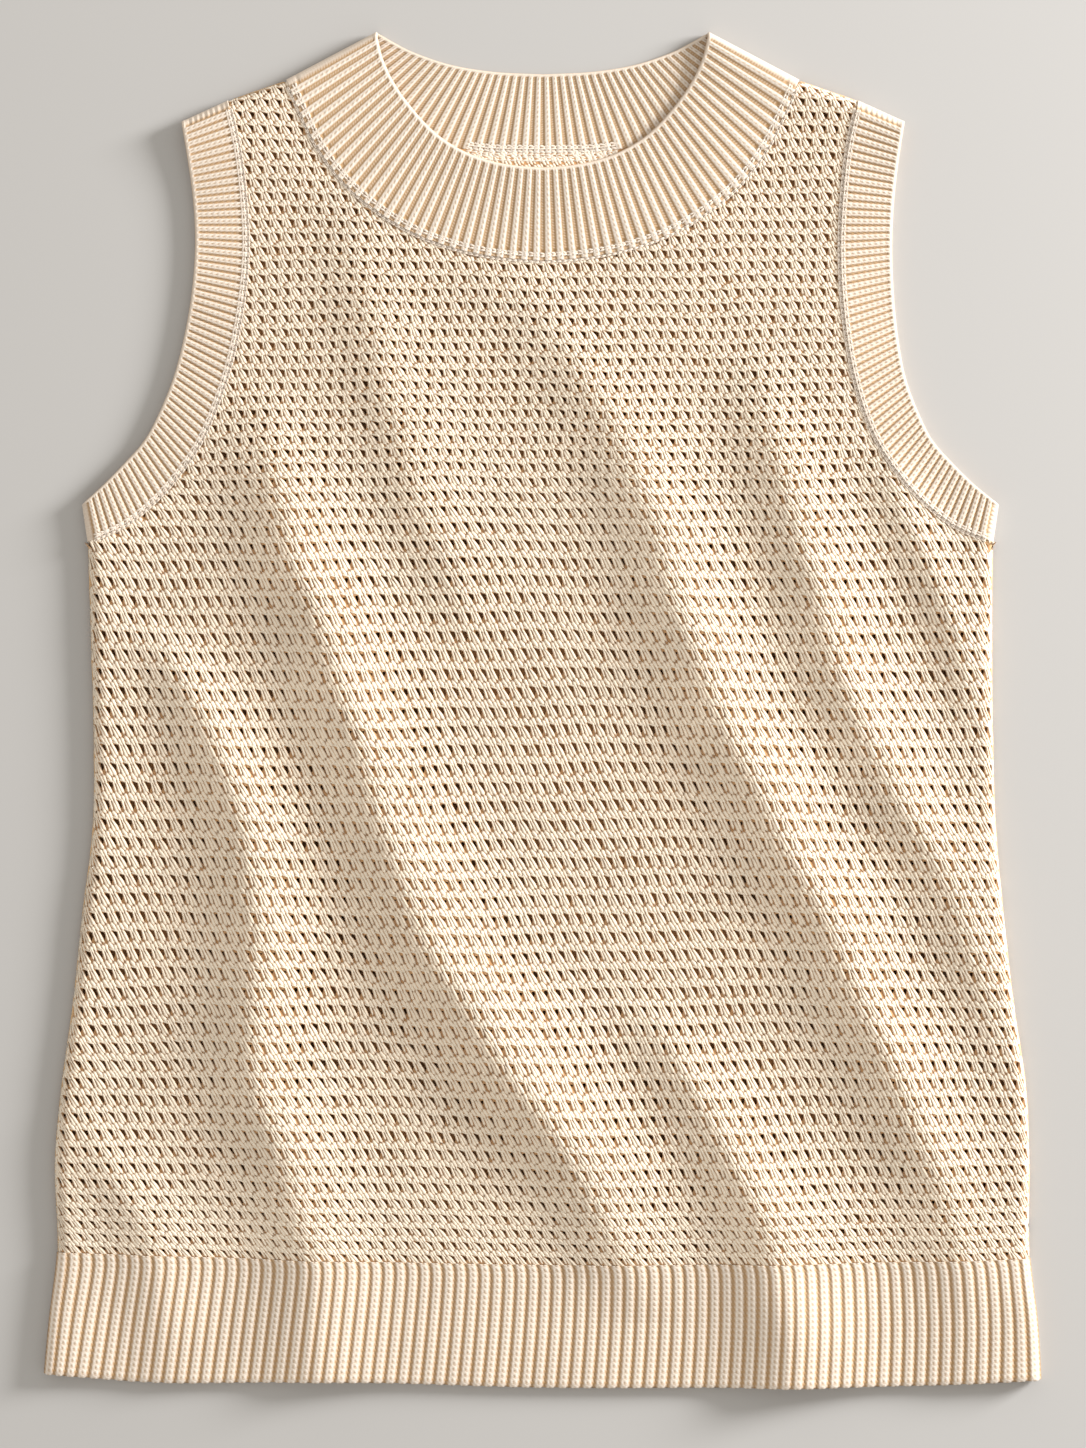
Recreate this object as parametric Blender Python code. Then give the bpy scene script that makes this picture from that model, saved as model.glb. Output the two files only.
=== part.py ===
"""A sleeveless openwork knit top, laid flat with its front up.

The hem lies towards -Y, the neck towards +Y and the wearer's left side towards +X. The back
panel rests on the floor at z = 0, and the front panel lies on it. The origin is on the floor,
under the middle of the whole garment. The sizes below are in millimetres; add_piece turns
them to metres.
"""
from collections import namedtuple

import bmesh
import bpy
import numpy as np

MM = 0.001

# Cloth: the openwork body and the ribbed bands, which are knitted denser and a little thicker.
BODY_WALL = 2.4
BAND_WALL = 2.2
RIB_RISE = 0.8
LAYER_GAP = 0.3
SEAM_GAP = 0.4

# Where a side or a shoulder turns over, the front comes down and the back comes up to a lip.
TURN = 6.0
BACK_LIP = 3.0
FRONT_LIP = BACK_LIP + LAYER_GAP
TURN_ANGLES = np.radians([90, 60, 30, 0])

# A turned edge is a soft roll, so it holds the front layer up for a little way in.
EDGE_RISE = 2.6
EDGE_REACH = 22.0
UNDERARM_Y = 82.0
UNDERARM_FADE = 60.0

# A folded band turns from the front layer to the back layer round a bend.
BEND = 4.4
BEND_ANGLES = np.radians([60, 30, 0, -30, -60])
FREE_EDGE = 2.0
FREE_EDGE_DROP = 1.0

# Ribs on the side that shows: the count on each band, and the section of one rib.
HEM_RIBS = 81
NECK_RIBS = 54
ARM_RIBS = 58
RIB_SECTION = ((0.0, 0.0), (0.28, 1.0), (0.72, 1.0))

# How finely each panel is divided. Rows crowd towards the underarm, where the seam curves most.
HALF_COLUMNS = 14
LOWER_ROWS = 17
ARMHOLE_ROWS = 13
ARMHOLE_CROWDING = 1.25
STRAP_ROWS = 11
BACK_HALF_COLUMNS = 4
BACK_STRAP_ROWS = 6
HEM_SEAM_FADE = 0.25

# How finely the plain inside or underside of each band is divided.
FRONT_HEM_COLUMNS = 24
BACK_HEM_COLUMNS = 8
NECK_COLUMNS = 19
ARM_COLUMNS = 15

# The outer edge of the body and hem, from the hem's corners up to the underarms.
Side = namedtuple("Side", "y left right")
SIDES = (
    Side(-333, -244.8, 244.8),
    Side(-305, -242.2, 243.2),
    Side(-270, -238.2, 239.2),
    Side(-220, -239.4, 239.0),
    Side(-187, -236.6, 237.6),
    Side(-144, -230.6, 231.4),
    Side(-100, -226.0, 226.4),
    Side(-59, -221.0, 222.7),
    Side(-15, -220.4, 221.2),
    Side(29, -221.6, 220.7),
    Side(UNDERARM_Y, -223.2, 221.0),
)

# The seam between body and hem, and the hem's free edge, across the garment.
Hem = namedtuple("Hem", "x seam_y edge_y")
HEM = (
    Hem(-245, -265.5, -325.4),
    Hem(-200, -267.0, -329.2),
    Hem(-100, -270.0, -329.4),
    Hem(0, -272.0, -332.3),
    Hem(100, -271.5, -332.1),
    Hem(200, -270.0, -330.8),
    Hem(245, -268.5, -328.4),
)

# The wearer's left armhole, from the underarm up to the shoulder: where its band is linked to
# the body, and the band's free edge. wider is how much further out the other armhole lies.
Armhole = namedtuple("Armhole", "seam_x seam_y edge_x edge_y wider")
ARMHOLE = (
    Armhole(221.0, UNDERARM_Y, 223.7, 100.5, 2.2),
    Armhole(202.0, 90.0, 211.5, 110.5, 3.6),
    Armhole(186.0, 102.5, 200.5, 121.5, 4.0),
    Armhole(174.0, 116.0, 191.0, 132.5, 4.0),
    Armhole(163.5, 132.5, 184.0, 146.5, 3.6),
    Armhole(155.8, 152.0, 178.0, 163.0, 3.0),
    Armhole(150.4, 174.0, 174.4, 182.0, 1.6),
    Armhole(147.0, 200.0, 172.2, 203.5, 0.0),
    Armhole(145.8, 226.0, 171.4, 226.5, -1.0),
    Armhole(146.8, 250.0, 172.2, 248.0, -1.0),
    Armhole(149.4, 275.0, 174.4, 268.5, -0.6),
    Armhole(154.6, 299.0, 177.4, 288.6, -0.4),
)

# Half the neck, from its middle up to the shoulder: where the neckband is linked to the body,
# and the band's free edge, on the front and on the back.
Neck = namedtuple("Neck", "seam_x seam_y edge_x edge_y")
FRONT_NECK = (
    Neck(0.0, 220.0, 0.0, 266.0),
    Neck(23.0, 222.0, 14.5, 267.2),
    Neck(44.0, 226.5, 28.0, 270.0),
    Neck(64.0, 234.0, 40.5, 275.0),
    Neck(82.0, 245.0, 52.5, 283.0),
    Neck(98.0, 259.0, 63.0, 294.0),
    Neck(110.5, 276.0, 72.5, 307.0),
    Neck(119.0, 293.0, 78.6, 320.0),
    Neck(126.0, 309.0, 81.4, 332.5),
)
BACK_NECK = (
    Neck(0.0, 273.0, 0.0, 312.0),
    Neck(31.0, 274.2, 24.0, 313.2),
    Neck(62.0, 280.5, 45.0, 316.6),
    Neck(92.0, 291.5, 62.5, 322.4),
    Neck(112.0, 301.5, 73.0, 327.6),
    Neck(126.0, 309.0, 81.4, 332.5),
)

# The soft folds of the front, each from its top to its foot. x is where its crest lies at y,
# height is how far it stands up, and left and right are the widths of its two slopes.
Fold = namedtuple("Fold", "y x height left right")
FOLDS = (
    (
        Fold(160, -138, 0.0, 22, 24),
        Fold(100, -128, 7.0, 23, 27),
        Fold(20, -101, 10.5, 24, 29),
        Fold(-50, -79, 11.5, 26, 32),
        Fold(-110, -57, 12.0, 29, 36),
        Fold(-160, -27, 12.0, 30, 38),
        Fold(-210, 8, 10.5, 28, 36),
        Fold(-255, 33, 6.0, 24, 30),
        Fold(-300, 48, 0.0, 22, 26),
    ),
    (
        Fold(45, -196, 0.0, 16, 22),
        Fold(0, -168, 6.5, 18, 23),
        Fold(-50, -148, 9.0, 21, 25),
        Fold(-110, -140, 9.5, 22, 27),
        Fold(-180, -140, 9.0, 22, 27),
        Fold(-230, -124, 8.0, 22, 28),
        Fold(-275, -113, 5.5, 22, 28),
        Fold(-334, -110, 4.5, 22, 28),
    ),
    (
        Fold(225, -22, 0.0, 24, 26),
        Fold(165, 20, 4.0, 24, 26),
        Fold(108, 50, 7.0, 24, 27),
        Fold(50, 67, 9.5, 24, 28),
        Fold(0, 87, 10.5, 26, 30),
        Fold(-50, 112, 10.5, 26, 30),
        Fold(-100, 138, 10.0, 26, 28),
        Fold(-150, 160, 9.5, 25, 26),
        Fold(-200, 182, 8.0, 24, 24),
        Fold(-250, 200, 5.0, 24, 24),
        Fold(-334, 212, 1.5, 24, 24),
    ),
    (
        Fold(180, 103, 0.0, 16, 20),
        Fold(125, 115, 5.5, 19, 22),
        Fold(70, 131, 7.5, 20, 24),
        Fold(5, 151, 8.0, 21, 25),
        Fold(-40, 173, 7.5, 22, 25),
        Fold(-85, 198, 6.0, 22, 24),
        Fold(-130, 213, 4.0, 20, 20),
        Fold(-180, 224, 0.0, 18, 18),
    ),
    (
        Fold(-140, 50, 0.0, 18, 22),
        Fold(-172, 67, 5.0, 20, 25),
        Fold(-206, 86, 8.0, 22, 28),
        Fold(-245, 106, 9.0, 23, 30),
        Fold(-290, 118, 8.5, 24, 30),
        Fold(-334, 122, 8.0, 24, 30),
    ),
    (
        Fold(262, -98, 0.0, 16, 24),
        Fold(210, -88, 2.8, 18, 28),
        Fold(155, -75, 3.8, 18, 30),
        Fold(105, -60, 3.6, 18, 30),
        Fold(60, -43, 2.4, 18, 26),
        Fold(25, -34, 0.0, 16, 22),
    ),
    (
        Fold(135, 163, 0.0, 11, 13),
        Fold(98, 177, 3.4, 13, 15),
        Fold(64, 192, 4.2, 13, 15),
        Fold(28, 204, 3.0, 12, 14),
        Fold(-10, 210, 0.0, 11, 12),
    ),
    (
        Fold(-190, -228, 0.0, 15, 18),
        Fold(-225, -212, 2.8, 16, 20),
        Fold(-260, -193, 3.4, 17, 21),
        Fold(-295, -187, 2.6, 16, 20),
        Fold(-334, -184, 0.8, 15, 18),
    ),
)


def smooth(at, knots, values):
    """Value at each place in at, on a smooth curve through values at increasing knots."""
    knots = np.asarray(knots, float)
    values = np.asarray(values, float)
    slopes = np.gradient(values, knots)
    at = np.clip(at, knots[0], knots[-1])
    i = np.clip(np.searchsorted(knots, at, side="right") - 1, 0, len(knots) - 2)
    width = knots[i + 1] - knots[i]
    t = (at - knots[i]) / width
    rise = values[i + 1] - values[i]
    start = slopes[i] * width
    end = slopes[i + 1] * width
    return values[i] + t * (start + t * (3 * rise - 2 * start - end + t * (start + end - 2 * rise)))


def column(table, name):
    """One named column of a table, as an array."""
    return np.array([getattr(row, name) for row in table], float)


def side_x(y, name):
    """The body's left or right outer edge at height y."""
    return smooth(y, column(SIDES, "y"), column(SIDES, name))


def hem_y(x, name):
    """The hem's seam or free edge at x."""
    return smooth(x, column(HEM, "x"), column(HEM, name))


def path(xs, ys):
    """A fine polyline along the smooth curve through the given points."""
    steps = np.arange(len(xs))
    t = np.linspace(0, len(xs) - 1, 30 * (len(xs) - 1) + 1)
    return np.stack([smooth(t, steps, xs), smooth(t, steps, ys)], axis=-1)


def lengths(line):
    """Distance of each point of a polyline from its start."""
    steps = np.linalg.norm(np.diff(line, axis=0), axis=1)
    return np.concatenate([[0.0], np.cumsum(steps)])


def along(line, fractions):
    """Points of a polyline at fractions of its length."""
    run = lengths(line)
    at = np.asarray(fractions) * run[-1]
    return np.stack([np.interp(at, run, line[:, 0]), np.interp(at, run, line[:, 1])], axis=-1)


def fraction_at_y(line, y):
    """Fraction of its length at which a rising polyline reaches height y."""
    run = lengths(line)
    return np.interp(y, line[:, 1], run / run[-1])


def mirrored(line):
    """The polyline on the other side of x = 0."""
    return line * [-1, 1]


def armhole_path(side, kind):
    """The seam or the free edge of an armhole, from underarm to shoulder. side is 1 or -1."""
    xs = column(ARMHOLE, kind + "_x")
    if side < 0:
        xs = -(xs + column(ARMHOLE, "wider"))
    return path(xs, column(ARMHOLE, kind + "_y"))


def neck_path(table, kind):
    """The seam or the free edge of the neck at +X, from the middle to the shoulder."""
    return path(column(table, kind + "_x"), column(table, kind + "_y"))


def shoulder_distance(x, y):
    """How far inside the line of the shoulder a point lies, on either side."""
    inner = np.array([FRONT_NECK[-1].edge_x, FRONT_NECK[-1].edge_y])
    outer = np.array([ARMHOLE[-1].edge_x, ARMHOLE[-1].edge_y])
    run = (outer - inner) / np.linalg.norm(outer - inner)
    return (inner[1] - y) * run[0] + (np.abs(x) - inner[0]) * run[1]


def edge_rise(x, y):
    """How far the rolls of the sides and shoulders hold the front layer up."""
    gap = np.minimum(side_x(y, "right") - x, x - side_x(y, "left"))
    above = np.clip((y - UNDERARM_Y) / UNDERARM_FADE, 0, 1)
    sides = np.exp(-(gap / EDGE_REACH) ** 2) * (1 - above)
    shoulders = np.exp(-(shoulder_distance(x, y) / EDGE_REACH) ** 2)
    return EDGE_RISE * np.maximum(sides, shoulders)


def lift(x, y):
    """Height of the front layer's inside over the flat layer: its edge rolls and its folds."""
    total = edge_rise(x, y)
    for fold in FOLDS:
        rows = fold[::-1]
        levels = column(rows, "y")
        across = x - smooth(y, levels, column(rows, "x"))
        left = smooth(y, levels, column(rows, "left"))
        right = smooth(y, levels, column(rows, "right"))
        height = np.clip(smooth(y, levels, column(rows, "height")), 0, None)
        inside = (y >= levels[0]) & (y <= levels[-1])
        width = np.where(across < 0, left, right)
        total = total + np.where(inside, height, 0) * np.exp(-(across / width) ** 2)
    return total


def front_inside(x, y):
    """Height of the inside of the front layer, which lies on the back panel."""
    return BODY_WALL + LAYER_GAP + lift(x, y)


def turn_depth(distance):
    """0 at a turned edge, rising to 1 where the cloth lies level again, round a quarter."""
    part = 1 - np.clip(distance / TURN, 0, 1)
    return np.sqrt(1 - part**2)


def turn_offsets(inset):
    """Distances from a turned edge at which the cloth is divided, from level cloth outwards."""
    return inset + (TURN - inset) * (1 - np.cos(TURN_ANGLES))


def grid_faces(ids):
    """The four-sided faces between the points of a grid of point numbers."""
    a = ids[:-1, :-1]
    b = ids[:-1, 1:]
    c = ids[1:, 1:]
    d = ids[1:, :-1]
    return np.stack([a, b, c, d], axis=-1).reshape(-1, 4).tolist()


def zip_faces(first, first_at, second, second_at):
    """Triangles between two rows of points, which run side by side with different counts."""
    faces = []
    i = 0
    j = 0
    while i < len(first) - 1 or j < len(second) - 1:
        take_first = j == len(second) - 1
        if i < len(first) - 1 and j < len(second) - 1:
            take_first = first_at[i + 1] <= second_at[j + 1]
        if take_first:
            faces.append([first[i], first[i + 1], second[j]])
            i += 1
        else:
            faces.append([first[i], second[j + 1], second[j]])
            j += 1
    return faces


def add_piece(name, points, faces, material):
    """One closed solid from its points in millimetres, with its faces turned outwards."""
    shape = bmesh.new()
    corners = [shape.verts.new(point) for point in np.asarray(points) * MM]
    for face in faces:
        shape.faces.new([corners[k] for k in face])
    bmesh.ops.recalc_face_normals(shape, faces=shape.faces)
    mesh = bpy.data.meshes.new(name)
    shape.to_mesh(mesh)
    shape.free()
    mesh.materials.append(material)
    mesh.shade_smooth()
    mesh.set_sharp_from_angle(angle=np.radians(50))
    piece = bpy.data.objects.new(name, mesh)
    bpy.context.collection.objects.link(piece)
    return piece


def cloth_material(name, colour, roughness):
    """Matt knitted cotton of one colour."""
    material = bpy.data.materials.new(name)
    material.use_nodes = True
    shader = material.node_tree.nodes["Principled BSDF"]
    shader.inputs["Base Color"].default_value = (*colour, 1)
    shader.inputs["Roughness"].default_value = roughness
    shader.inputs["Metallic"].default_value = 0.0
    material.diffuse_color = (*colour, 1)
    return material


def body_rows(neck, inset, half_columns, strap_rows):
    """Points of one face of a body panel, seen from above, with how far each has turned over.

    Row by row they run from the seam with the hem to the lowest point of the neck, and from
    there up each strap to the shoulder. Each row runs from the wearer's right to the left.
    """
    armholes = {side: armhole_path(side, "seam") for side in (1, -1)}
    neck_bottom = neck[0, 1]
    stops = {side: fraction_at_y(armholes[side], neck_bottom) for side in (1, -1)}

    def half_row(middle, end, turned):
        """Points from the middle of the panel out to its edge, and their turn."""
        run = np.linalg.norm(end - middle)
        offsets = turn_offsets(inset if turned else 0.0)
        level = np.linspace(0, run - offsets[0], half_columns + 1)
        distance = np.concatenate([level, run - offsets[1:]])
        points = middle + (end - middle) * (distance / run)[:, None]
        angles = np.concatenate([np.ones(half_columns), np.sin(TURN_ANGLES)])
        return points, angles if turned else np.ones(len(distance))

    def full_row(left, right, turned):
        """A row across the whole panel."""
        middle = left + (right - left) * (-left[0] / (right[0] - left[0]))
        right_points, right_turn = half_row(middle, right, turned)
        left_points, left_turn = half_row(middle, left, turned)
        points = np.concatenate([left_points[:0:-1], right_points])
        return points, np.concatenate([left_turn[:0:-1], right_turn])

    trunk = []
    start = min(row.seam_y for row in HEM)
    for k in range(LOWER_ROWS + 1):
        part = k / LOWER_ROWS
        y = start + (UNDERARM_Y - SEAM_GAP - start) * part
        left = np.array([side_x(y, "left"), y])
        right = np.array([side_x(y, "right"), y])
        points, turn = full_row(left, right, True)
        near_hem = max(0, 1 - part / HEM_SEAM_FADE)
        points[:, 1] += (hem_y(points[:, 0], "seam_y") - start) * near_hem
        trunk.append((points, turn))
    for k in range(1, ARMHOLE_ROWS + 1):
        part = (k / ARMHOLE_ROWS) ** ARMHOLE_CROWDING
        right = along(armholes[1], [stops[1] * part])[0]
        left = along(armholes[-1], [stops[-1] * part])[0]
        trunk.append(full_row(left, right, False))

    straps = {}
    for side in (1, -1):
        armhole = armholes[side]
        seam = neck if side > 0 else mirrored(neck)
        armhole_run = lengths(armhole)[-1]
        neck_run = lengths(seam)[-1]
        offsets = turn_offsets(inset)
        rows = []
        level = np.linspace(0, 1, strap_rows + 1)[1:]
        armhole_at = stops[side] + (1 - offsets[0] / armhole_run - stops[side]) * level
        neck_at = (1 - offsets[0] / neck_run) * level
        armhole_at = np.concatenate([armhole_at, 1 - offsets[1:] / armhole_run])
        neck_at = np.concatenate([neck_at, 1 - offsets[1:] / neck_run])
        turns = np.concatenate([np.ones(strap_rows), np.sin(TURN_ANGLES[1:])])
        for at_neck, at_armhole, turn in zip(neck_at, armhole_at, turns):
            inner = along(seam, [at_neck])[0]
            outer = along(armhole, [at_armhole])[0]
            points, flat = half_row(inner, outer, False)
            rows.append((points, flat * turn))
        straps[side] = rows
    return trunk, straps


def body_face(neck, inset, half_columns, strap_rows, height):
    """Points and faces of one side of a body panel. height gives z from x, y and turn."""
    trunk, straps = body_rows(neck, inset, half_columns, strap_rows)
    points = []
    rows = []

    def place(row_points, turn):
        """Adds one row of points and gives their numbers."""
        z = height(row_points[:, 0], row_points[:, 1], turn)
        first = len(points)
        points.extend(np.column_stack([row_points, z]).tolist())
        return np.arange(first, len(points))

    for row_points, turn in trunk:
        rows.append(place(row_points, turn))
    faces = grid_faces(np.array(rows))
    middle = len(rows[-1]) // 2
    starts = {1: rows[-1][middle:], -1: rows[-1][middle::-1]}
    for side, strap in straps.items():
        strap_ids = [starts[side]]
        for row_points, turn in strap:
            strap_ids.append(place(row_points, turn))
        faces += grid_faces(np.array(strap_ids))
    return points, faces


def outline_edges(faces):
    """The edges that belong to one face only, in the order that the face gives them."""
    edges = [(face[k], face[(k + 1) % len(face)]) for face in faces for k in range(len(face))]
    counts = {}
    for a, b in edges:
        key = (min(a, b), max(a, b))
        counts[key] = counts.get(key, 0) + 1
    return [edge for edge in edges if counts[(min(edge), max(edge))] == 1]


def add_wall(name, outer, inner, faces, material):
    """A solid between two like sets of points: both faces and the rim that joins them."""
    count = len(outer)
    inner_faces = [[k + count for k in face] for face in faces]
    rim = [[a, b, b + count, a + count] for a, b in outline_edges(faces)]
    points = np.concatenate([outer, inner])
    return add_piece(name, points, faces + inner_faces + rim, material)


def body_panel(name, neck_table, half_columns, strap_rows, outside, inside, material):
    """A front or back panel of the body."""
    neck = neck_path(neck_table, "seam")
    outer, faces = body_face(neck, 0.0, half_columns, strap_rows, outside)
    inner, _ = body_face(neck, BODY_WALL, half_columns, strap_rows, inside)
    return add_wall(name, outer, inner, faces, material)


def slope_factor(x, y):
    """How much taller the wall is measured upright where the cloth slopes."""
    step = 0.5
    across = (lift(x + step, y) - lift(x - step, y)) / (2 * step)
    upwards = (lift(x, y + step) - lift(x, y - step)) / (2 * step)
    return np.sqrt(1 + across**2 + upwards**2)


def front_body_outside(x, y, turn):
    """Height of the front's outside."""
    top = front_inside(x, y) + BODY_WALL * slope_factor(x, y)
    return FRONT_LIP + (top - FRONT_LIP) * turn


def front_body_inside(x, y, turn):
    """Height of the front's inside."""
    return FRONT_LIP + (front_inside(x, y) - FRONT_LIP) * turn


def back_body_outside(x, y, turn):
    """Height of the back's outside, flat on the floor."""
    return BACK_LIP * (1 - turn)


def back_body_inside(x, y, turn):
    """Height of the back's inside."""
    return BACK_LIP + (BODY_WALL - BACK_LIP) * turn


def rib_columns(ribs, start, end):
    """Places along a band from start to end, with how far each stands up: 0 or 1."""
    places = [(k + part) / ribs for k in range(ribs) for part, _ in RIB_SECTION] + [1.0]
    rises = [rise for _ in range(ribs) for _, rise in RIB_SECTION] + [0.0]
    return start + (end - start) * np.array(places), np.array(rises)


def hem_points(across, down, inset):
    """Points of the hem at fractions across it and down it, and how far each has turned."""
    seam_y = hem_y(0.0, "seam_y")
    level = seam_y + (hem_y(0.0, "edge_y") - seam_y) * down[:, None]
    left = side_x(level, "left")
    right = side_x(level, "right")
    distance = inset + (right - left - 2 * inset) * across[None, :]
    x = left + distance
    top = hem_y(x, "seam_y") - SEAM_GAP
    y = top + (hem_y(x, "edge_y") - top) * down[:, None]
    near = np.minimum(distance, right - left - distance) - inset
    return x, y, turn_depth(near * TURN / (TURN - inset))


def plain_hem_columns(count):
    """Places across a plain face of the hem, close together where its sides turn over."""
    near = turn_offsets(0.0)[::-1] / (SIDES[0].right - SIDES[0].left)
    return np.concatenate([near, np.linspace(near[-1], 1 - near[-1], count)[1:-1], 1 - near[::-1]])


def point_numbers(points, first):
    """The numbers of a grid of points, counted from first."""
    return first + np.arange(points.shape[0] * points.shape[1]).reshape(points.shape[:2])


def front_hem(material):
    """The front of the hem: a ribbed band on its outside, plain inside."""
    drop = hem_y(0.0, "seam_y") - hem_y(0.0, "edge_y")
    down = np.array([0.0, 0.5, 1 - FREE_EDGE / drop, 1.0])
    across, rise = rib_columns(HEM_RIBS, 0.0, 1.0)
    x, y, turn = hem_points(across, down, 0.0)
    top = front_inside(x, y) + (BAND_WALL + RIB_RISE * rise) * slope_factor(x, y)
    top -= FREE_EDGE_DROP * (down == 1.0)[:, None]
    outer = np.stack([x, y, FRONT_LIP + (top - FRONT_LIP) * turn], axis=-1)

    plain = plain_hem_columns(FRONT_HEM_COLUMNS)
    x, y, turn = hem_points(plain, down[[0, 1, 3]], BAND_WALL)
    z = FRONT_LIP + (front_inside(x, y) - FRONT_LIP) * turn
    inner = np.stack([x, y, z], axis=-1)

    outer_ids = point_numbers(outer, 0)
    inner_ids = point_numbers(inner, outer_ids.size)
    faces = grid_faces(outer_ids) + grid_faces(inner_ids)
    for row in (0, -1):
        faces += zip_faces(outer_ids[row], across, inner_ids[row], plain)
    for end in (0, -1):
        faces += zip_faces(outer_ids[:, end], down, inner_ids[:, end], down[[0, 1, 3]])
    points = np.concatenate([outer.reshape(-1, 3), inner.reshape(-1, 3)])
    return add_piece("front_hem_rib", points, faces, material)


def back_hem(material):
    """The back of the hem, which lies under the front one and is flat on the floor."""
    across = plain_hem_columns(BACK_HEM_COLUMNS)
    down = np.array([0.0, 0.5, 1.0])
    x, y, turn = hem_points(across, down, 0.0)
    outer = np.stack([x, y, back_body_outside(x, y, turn)], axis=-1)
    faces = grid_faces(point_numbers(outer, 0))
    x, y, turn = hem_points(across, down, BAND_WALL)
    inner = np.stack([x, y, back_body_inside(x, y, turn)], axis=-1)
    return add_wall("back_hem_rib", outer.reshape(-1, 3), inner.reshape(-1, 3), faces, material)


def band_strip(seam, edge, at, down):
    """Points of a flat band. at is along it, down is 0 at its free edge and 1 at its seam."""
    outer = along(seam, at)[None, :, :]
    inner = along(edge, at)[None, :, :]
    width = np.linalg.norm(outer - inner, axis=-1, keepdims=True)
    part = np.minimum(down[:, None, None], 1 - SEAM_GAP / width)
    return inner + (outer - inner) * part


def band_ring(name, front, back, ribs, plain, material):
    """A ribbed band folded flat: its front half, its back half and the bend at each end.

    front and back are each a seam and a free edge that run from one bend to the other.
    """
    down = np.array([1.0, 0.5, FREE_EDGE / np.linalg.norm(front[0][0] - front[1][0]), 0.0])
    ends = BEND / lengths(front[0])[-1], BEND / lengths(back[0])[-1]
    ribbed, rise = rib_columns(ribs, ends[0], 1 - ends[0])
    smooth_front = np.linspace(ends[0], 1 - ends[0], plain)
    smooth_back = np.linspace(1 - ends[1], ends[1], plain)

    def ring(at_front, front_wall, rows, outside):
        """Points of one face of the ring, row by row, and their places round it."""
        flat = band_strip(*front, at_front, rows)
        below = band_strip(*back, smooth_back, rows)
        tips = band_strip(*front, np.array([0.0, 1.0]), rows)
        base = front_inside(flat[..., 0], flat[..., 1])
        if outside:
            slope = slope_factor(flat[..., 0], flat[..., 1])
            top = base + front_wall * slope - FREE_EDGE_DROP * (rows == 0)[:, None]
            floor = np.zeros(below.shape[:2])
            reach = 1.0
        else:
            top = base
            floor = np.full(below.shape[:2], BAND_WALL)
            reach = (BEND - BAND_WALL) / BEND
        bends = []
        for tip, top_at, below_at in ((tips[:, 1], -1, 0), (tips[:, 0], 0, -1)):
            angles = BEND_ANGLES if top_at == -1 else BEND_ANGLES[::-1]
            upper = flat[:, top_at]
            lower = below[:, below_at]
            root = np.where((angles > 0)[None, :, None], upper[:, None], lower[:, None])
            root = np.where((angles == 0)[None, :, None], (upper + lower)[:, None] / 2, root)
            out = root + (tip[:, None] - root) * (reach * np.cos(angles))[None, :, None]
            high = top[:, top_at][:, None]
            low = floor[:, below_at][:, None]
            z = (high + low) / 2 + (high - low) / 2 * np.sin(angles)[None, :]
            bends.append(np.concatenate([out, z[..., None]], axis=-1))
        upper = np.concatenate([flat, top[..., None]], axis=-1)
        lower = np.concatenate([below, floor[..., None]], axis=-1)
        bend_places = np.arange(1, len(BEND_ANGLES) + 1) / (len(BEND_ANGLES) + 1)
        back_places = np.linspace(2, 3, plain)
        places = np.concatenate([at_front, 1 + bend_places, back_places, 3 + bend_places, [4.0]])
        return np.concatenate([upper, bends[0], lower, bends[1]], axis=1), places

    outer, outer_at = ring(ribbed, BAND_WALL + RIB_RISE * rise, down, True)
    inner, inner_at = ring(smooth_front, 0.0, down[[0, 1, 3]], False)
    outer_ids = point_numbers(outer, 0)
    inner_ids = point_numbers(inner, outer_ids.size)
    outer_ids = np.column_stack([outer_ids, outer_ids[:, 0]])
    inner_ids = np.column_stack([inner_ids, inner_ids[:, 0]])
    faces = grid_faces(outer_ids) + grid_faces(inner_ids)
    for row in (0, -1):
        faces += zip_faces(outer_ids[row], outer_at, inner_ids[row], inner_at)
    points = np.concatenate([outer.reshape(-1, 3), inner.reshape(-1, 3)])
    return add_piece(name, points, faces, material)


def whole_neck(table):
    """Seam and free edge of the neck from the wearer's right shoulder to the left one."""
    lines = []
    for kind in ("seam", "edge"):
        half = neck_path(table, kind)
        lines.append(np.concatenate([mirrored(half)[:0:-1], half]))
    return lines


for old in list(bpy.data.objects):
    bpy.data.objects.remove(old, do_unlink=True)

mesh_knit = cloth_material("openwork_cotton_knit", (0.80, 0.67, 0.49), 0.9)
rib_knit = cloth_material("ribbed_cotton_knit", (0.82, 0.70, 0.53), 0.88)

body_panel("front_body", FRONT_NECK, HALF_COLUMNS, STRAP_ROWS,
           front_body_outside, front_body_inside, mesh_knit)
body_panel("back_body", BACK_NECK, BACK_HALF_COLUMNS, BACK_STRAP_ROWS,
           back_body_outside, back_body_inside, mesh_knit)
front_hem(rib_knit)
back_hem(rib_knit)
band_ring("neckband", whole_neck(FRONT_NECK), whole_neck(BACK_NECK), NECK_RIBS, NECK_COLUMNS, rib_knit)
for side, name in ((1, "armband_left"), (-1, "armband_right")):
    lines = [armhole_path(side, "seam"), armhole_path(side, "edge")]
    band_ring(name, lines, lines, ARM_RIBS, ARM_COLUMNS, rib_knit)
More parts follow.
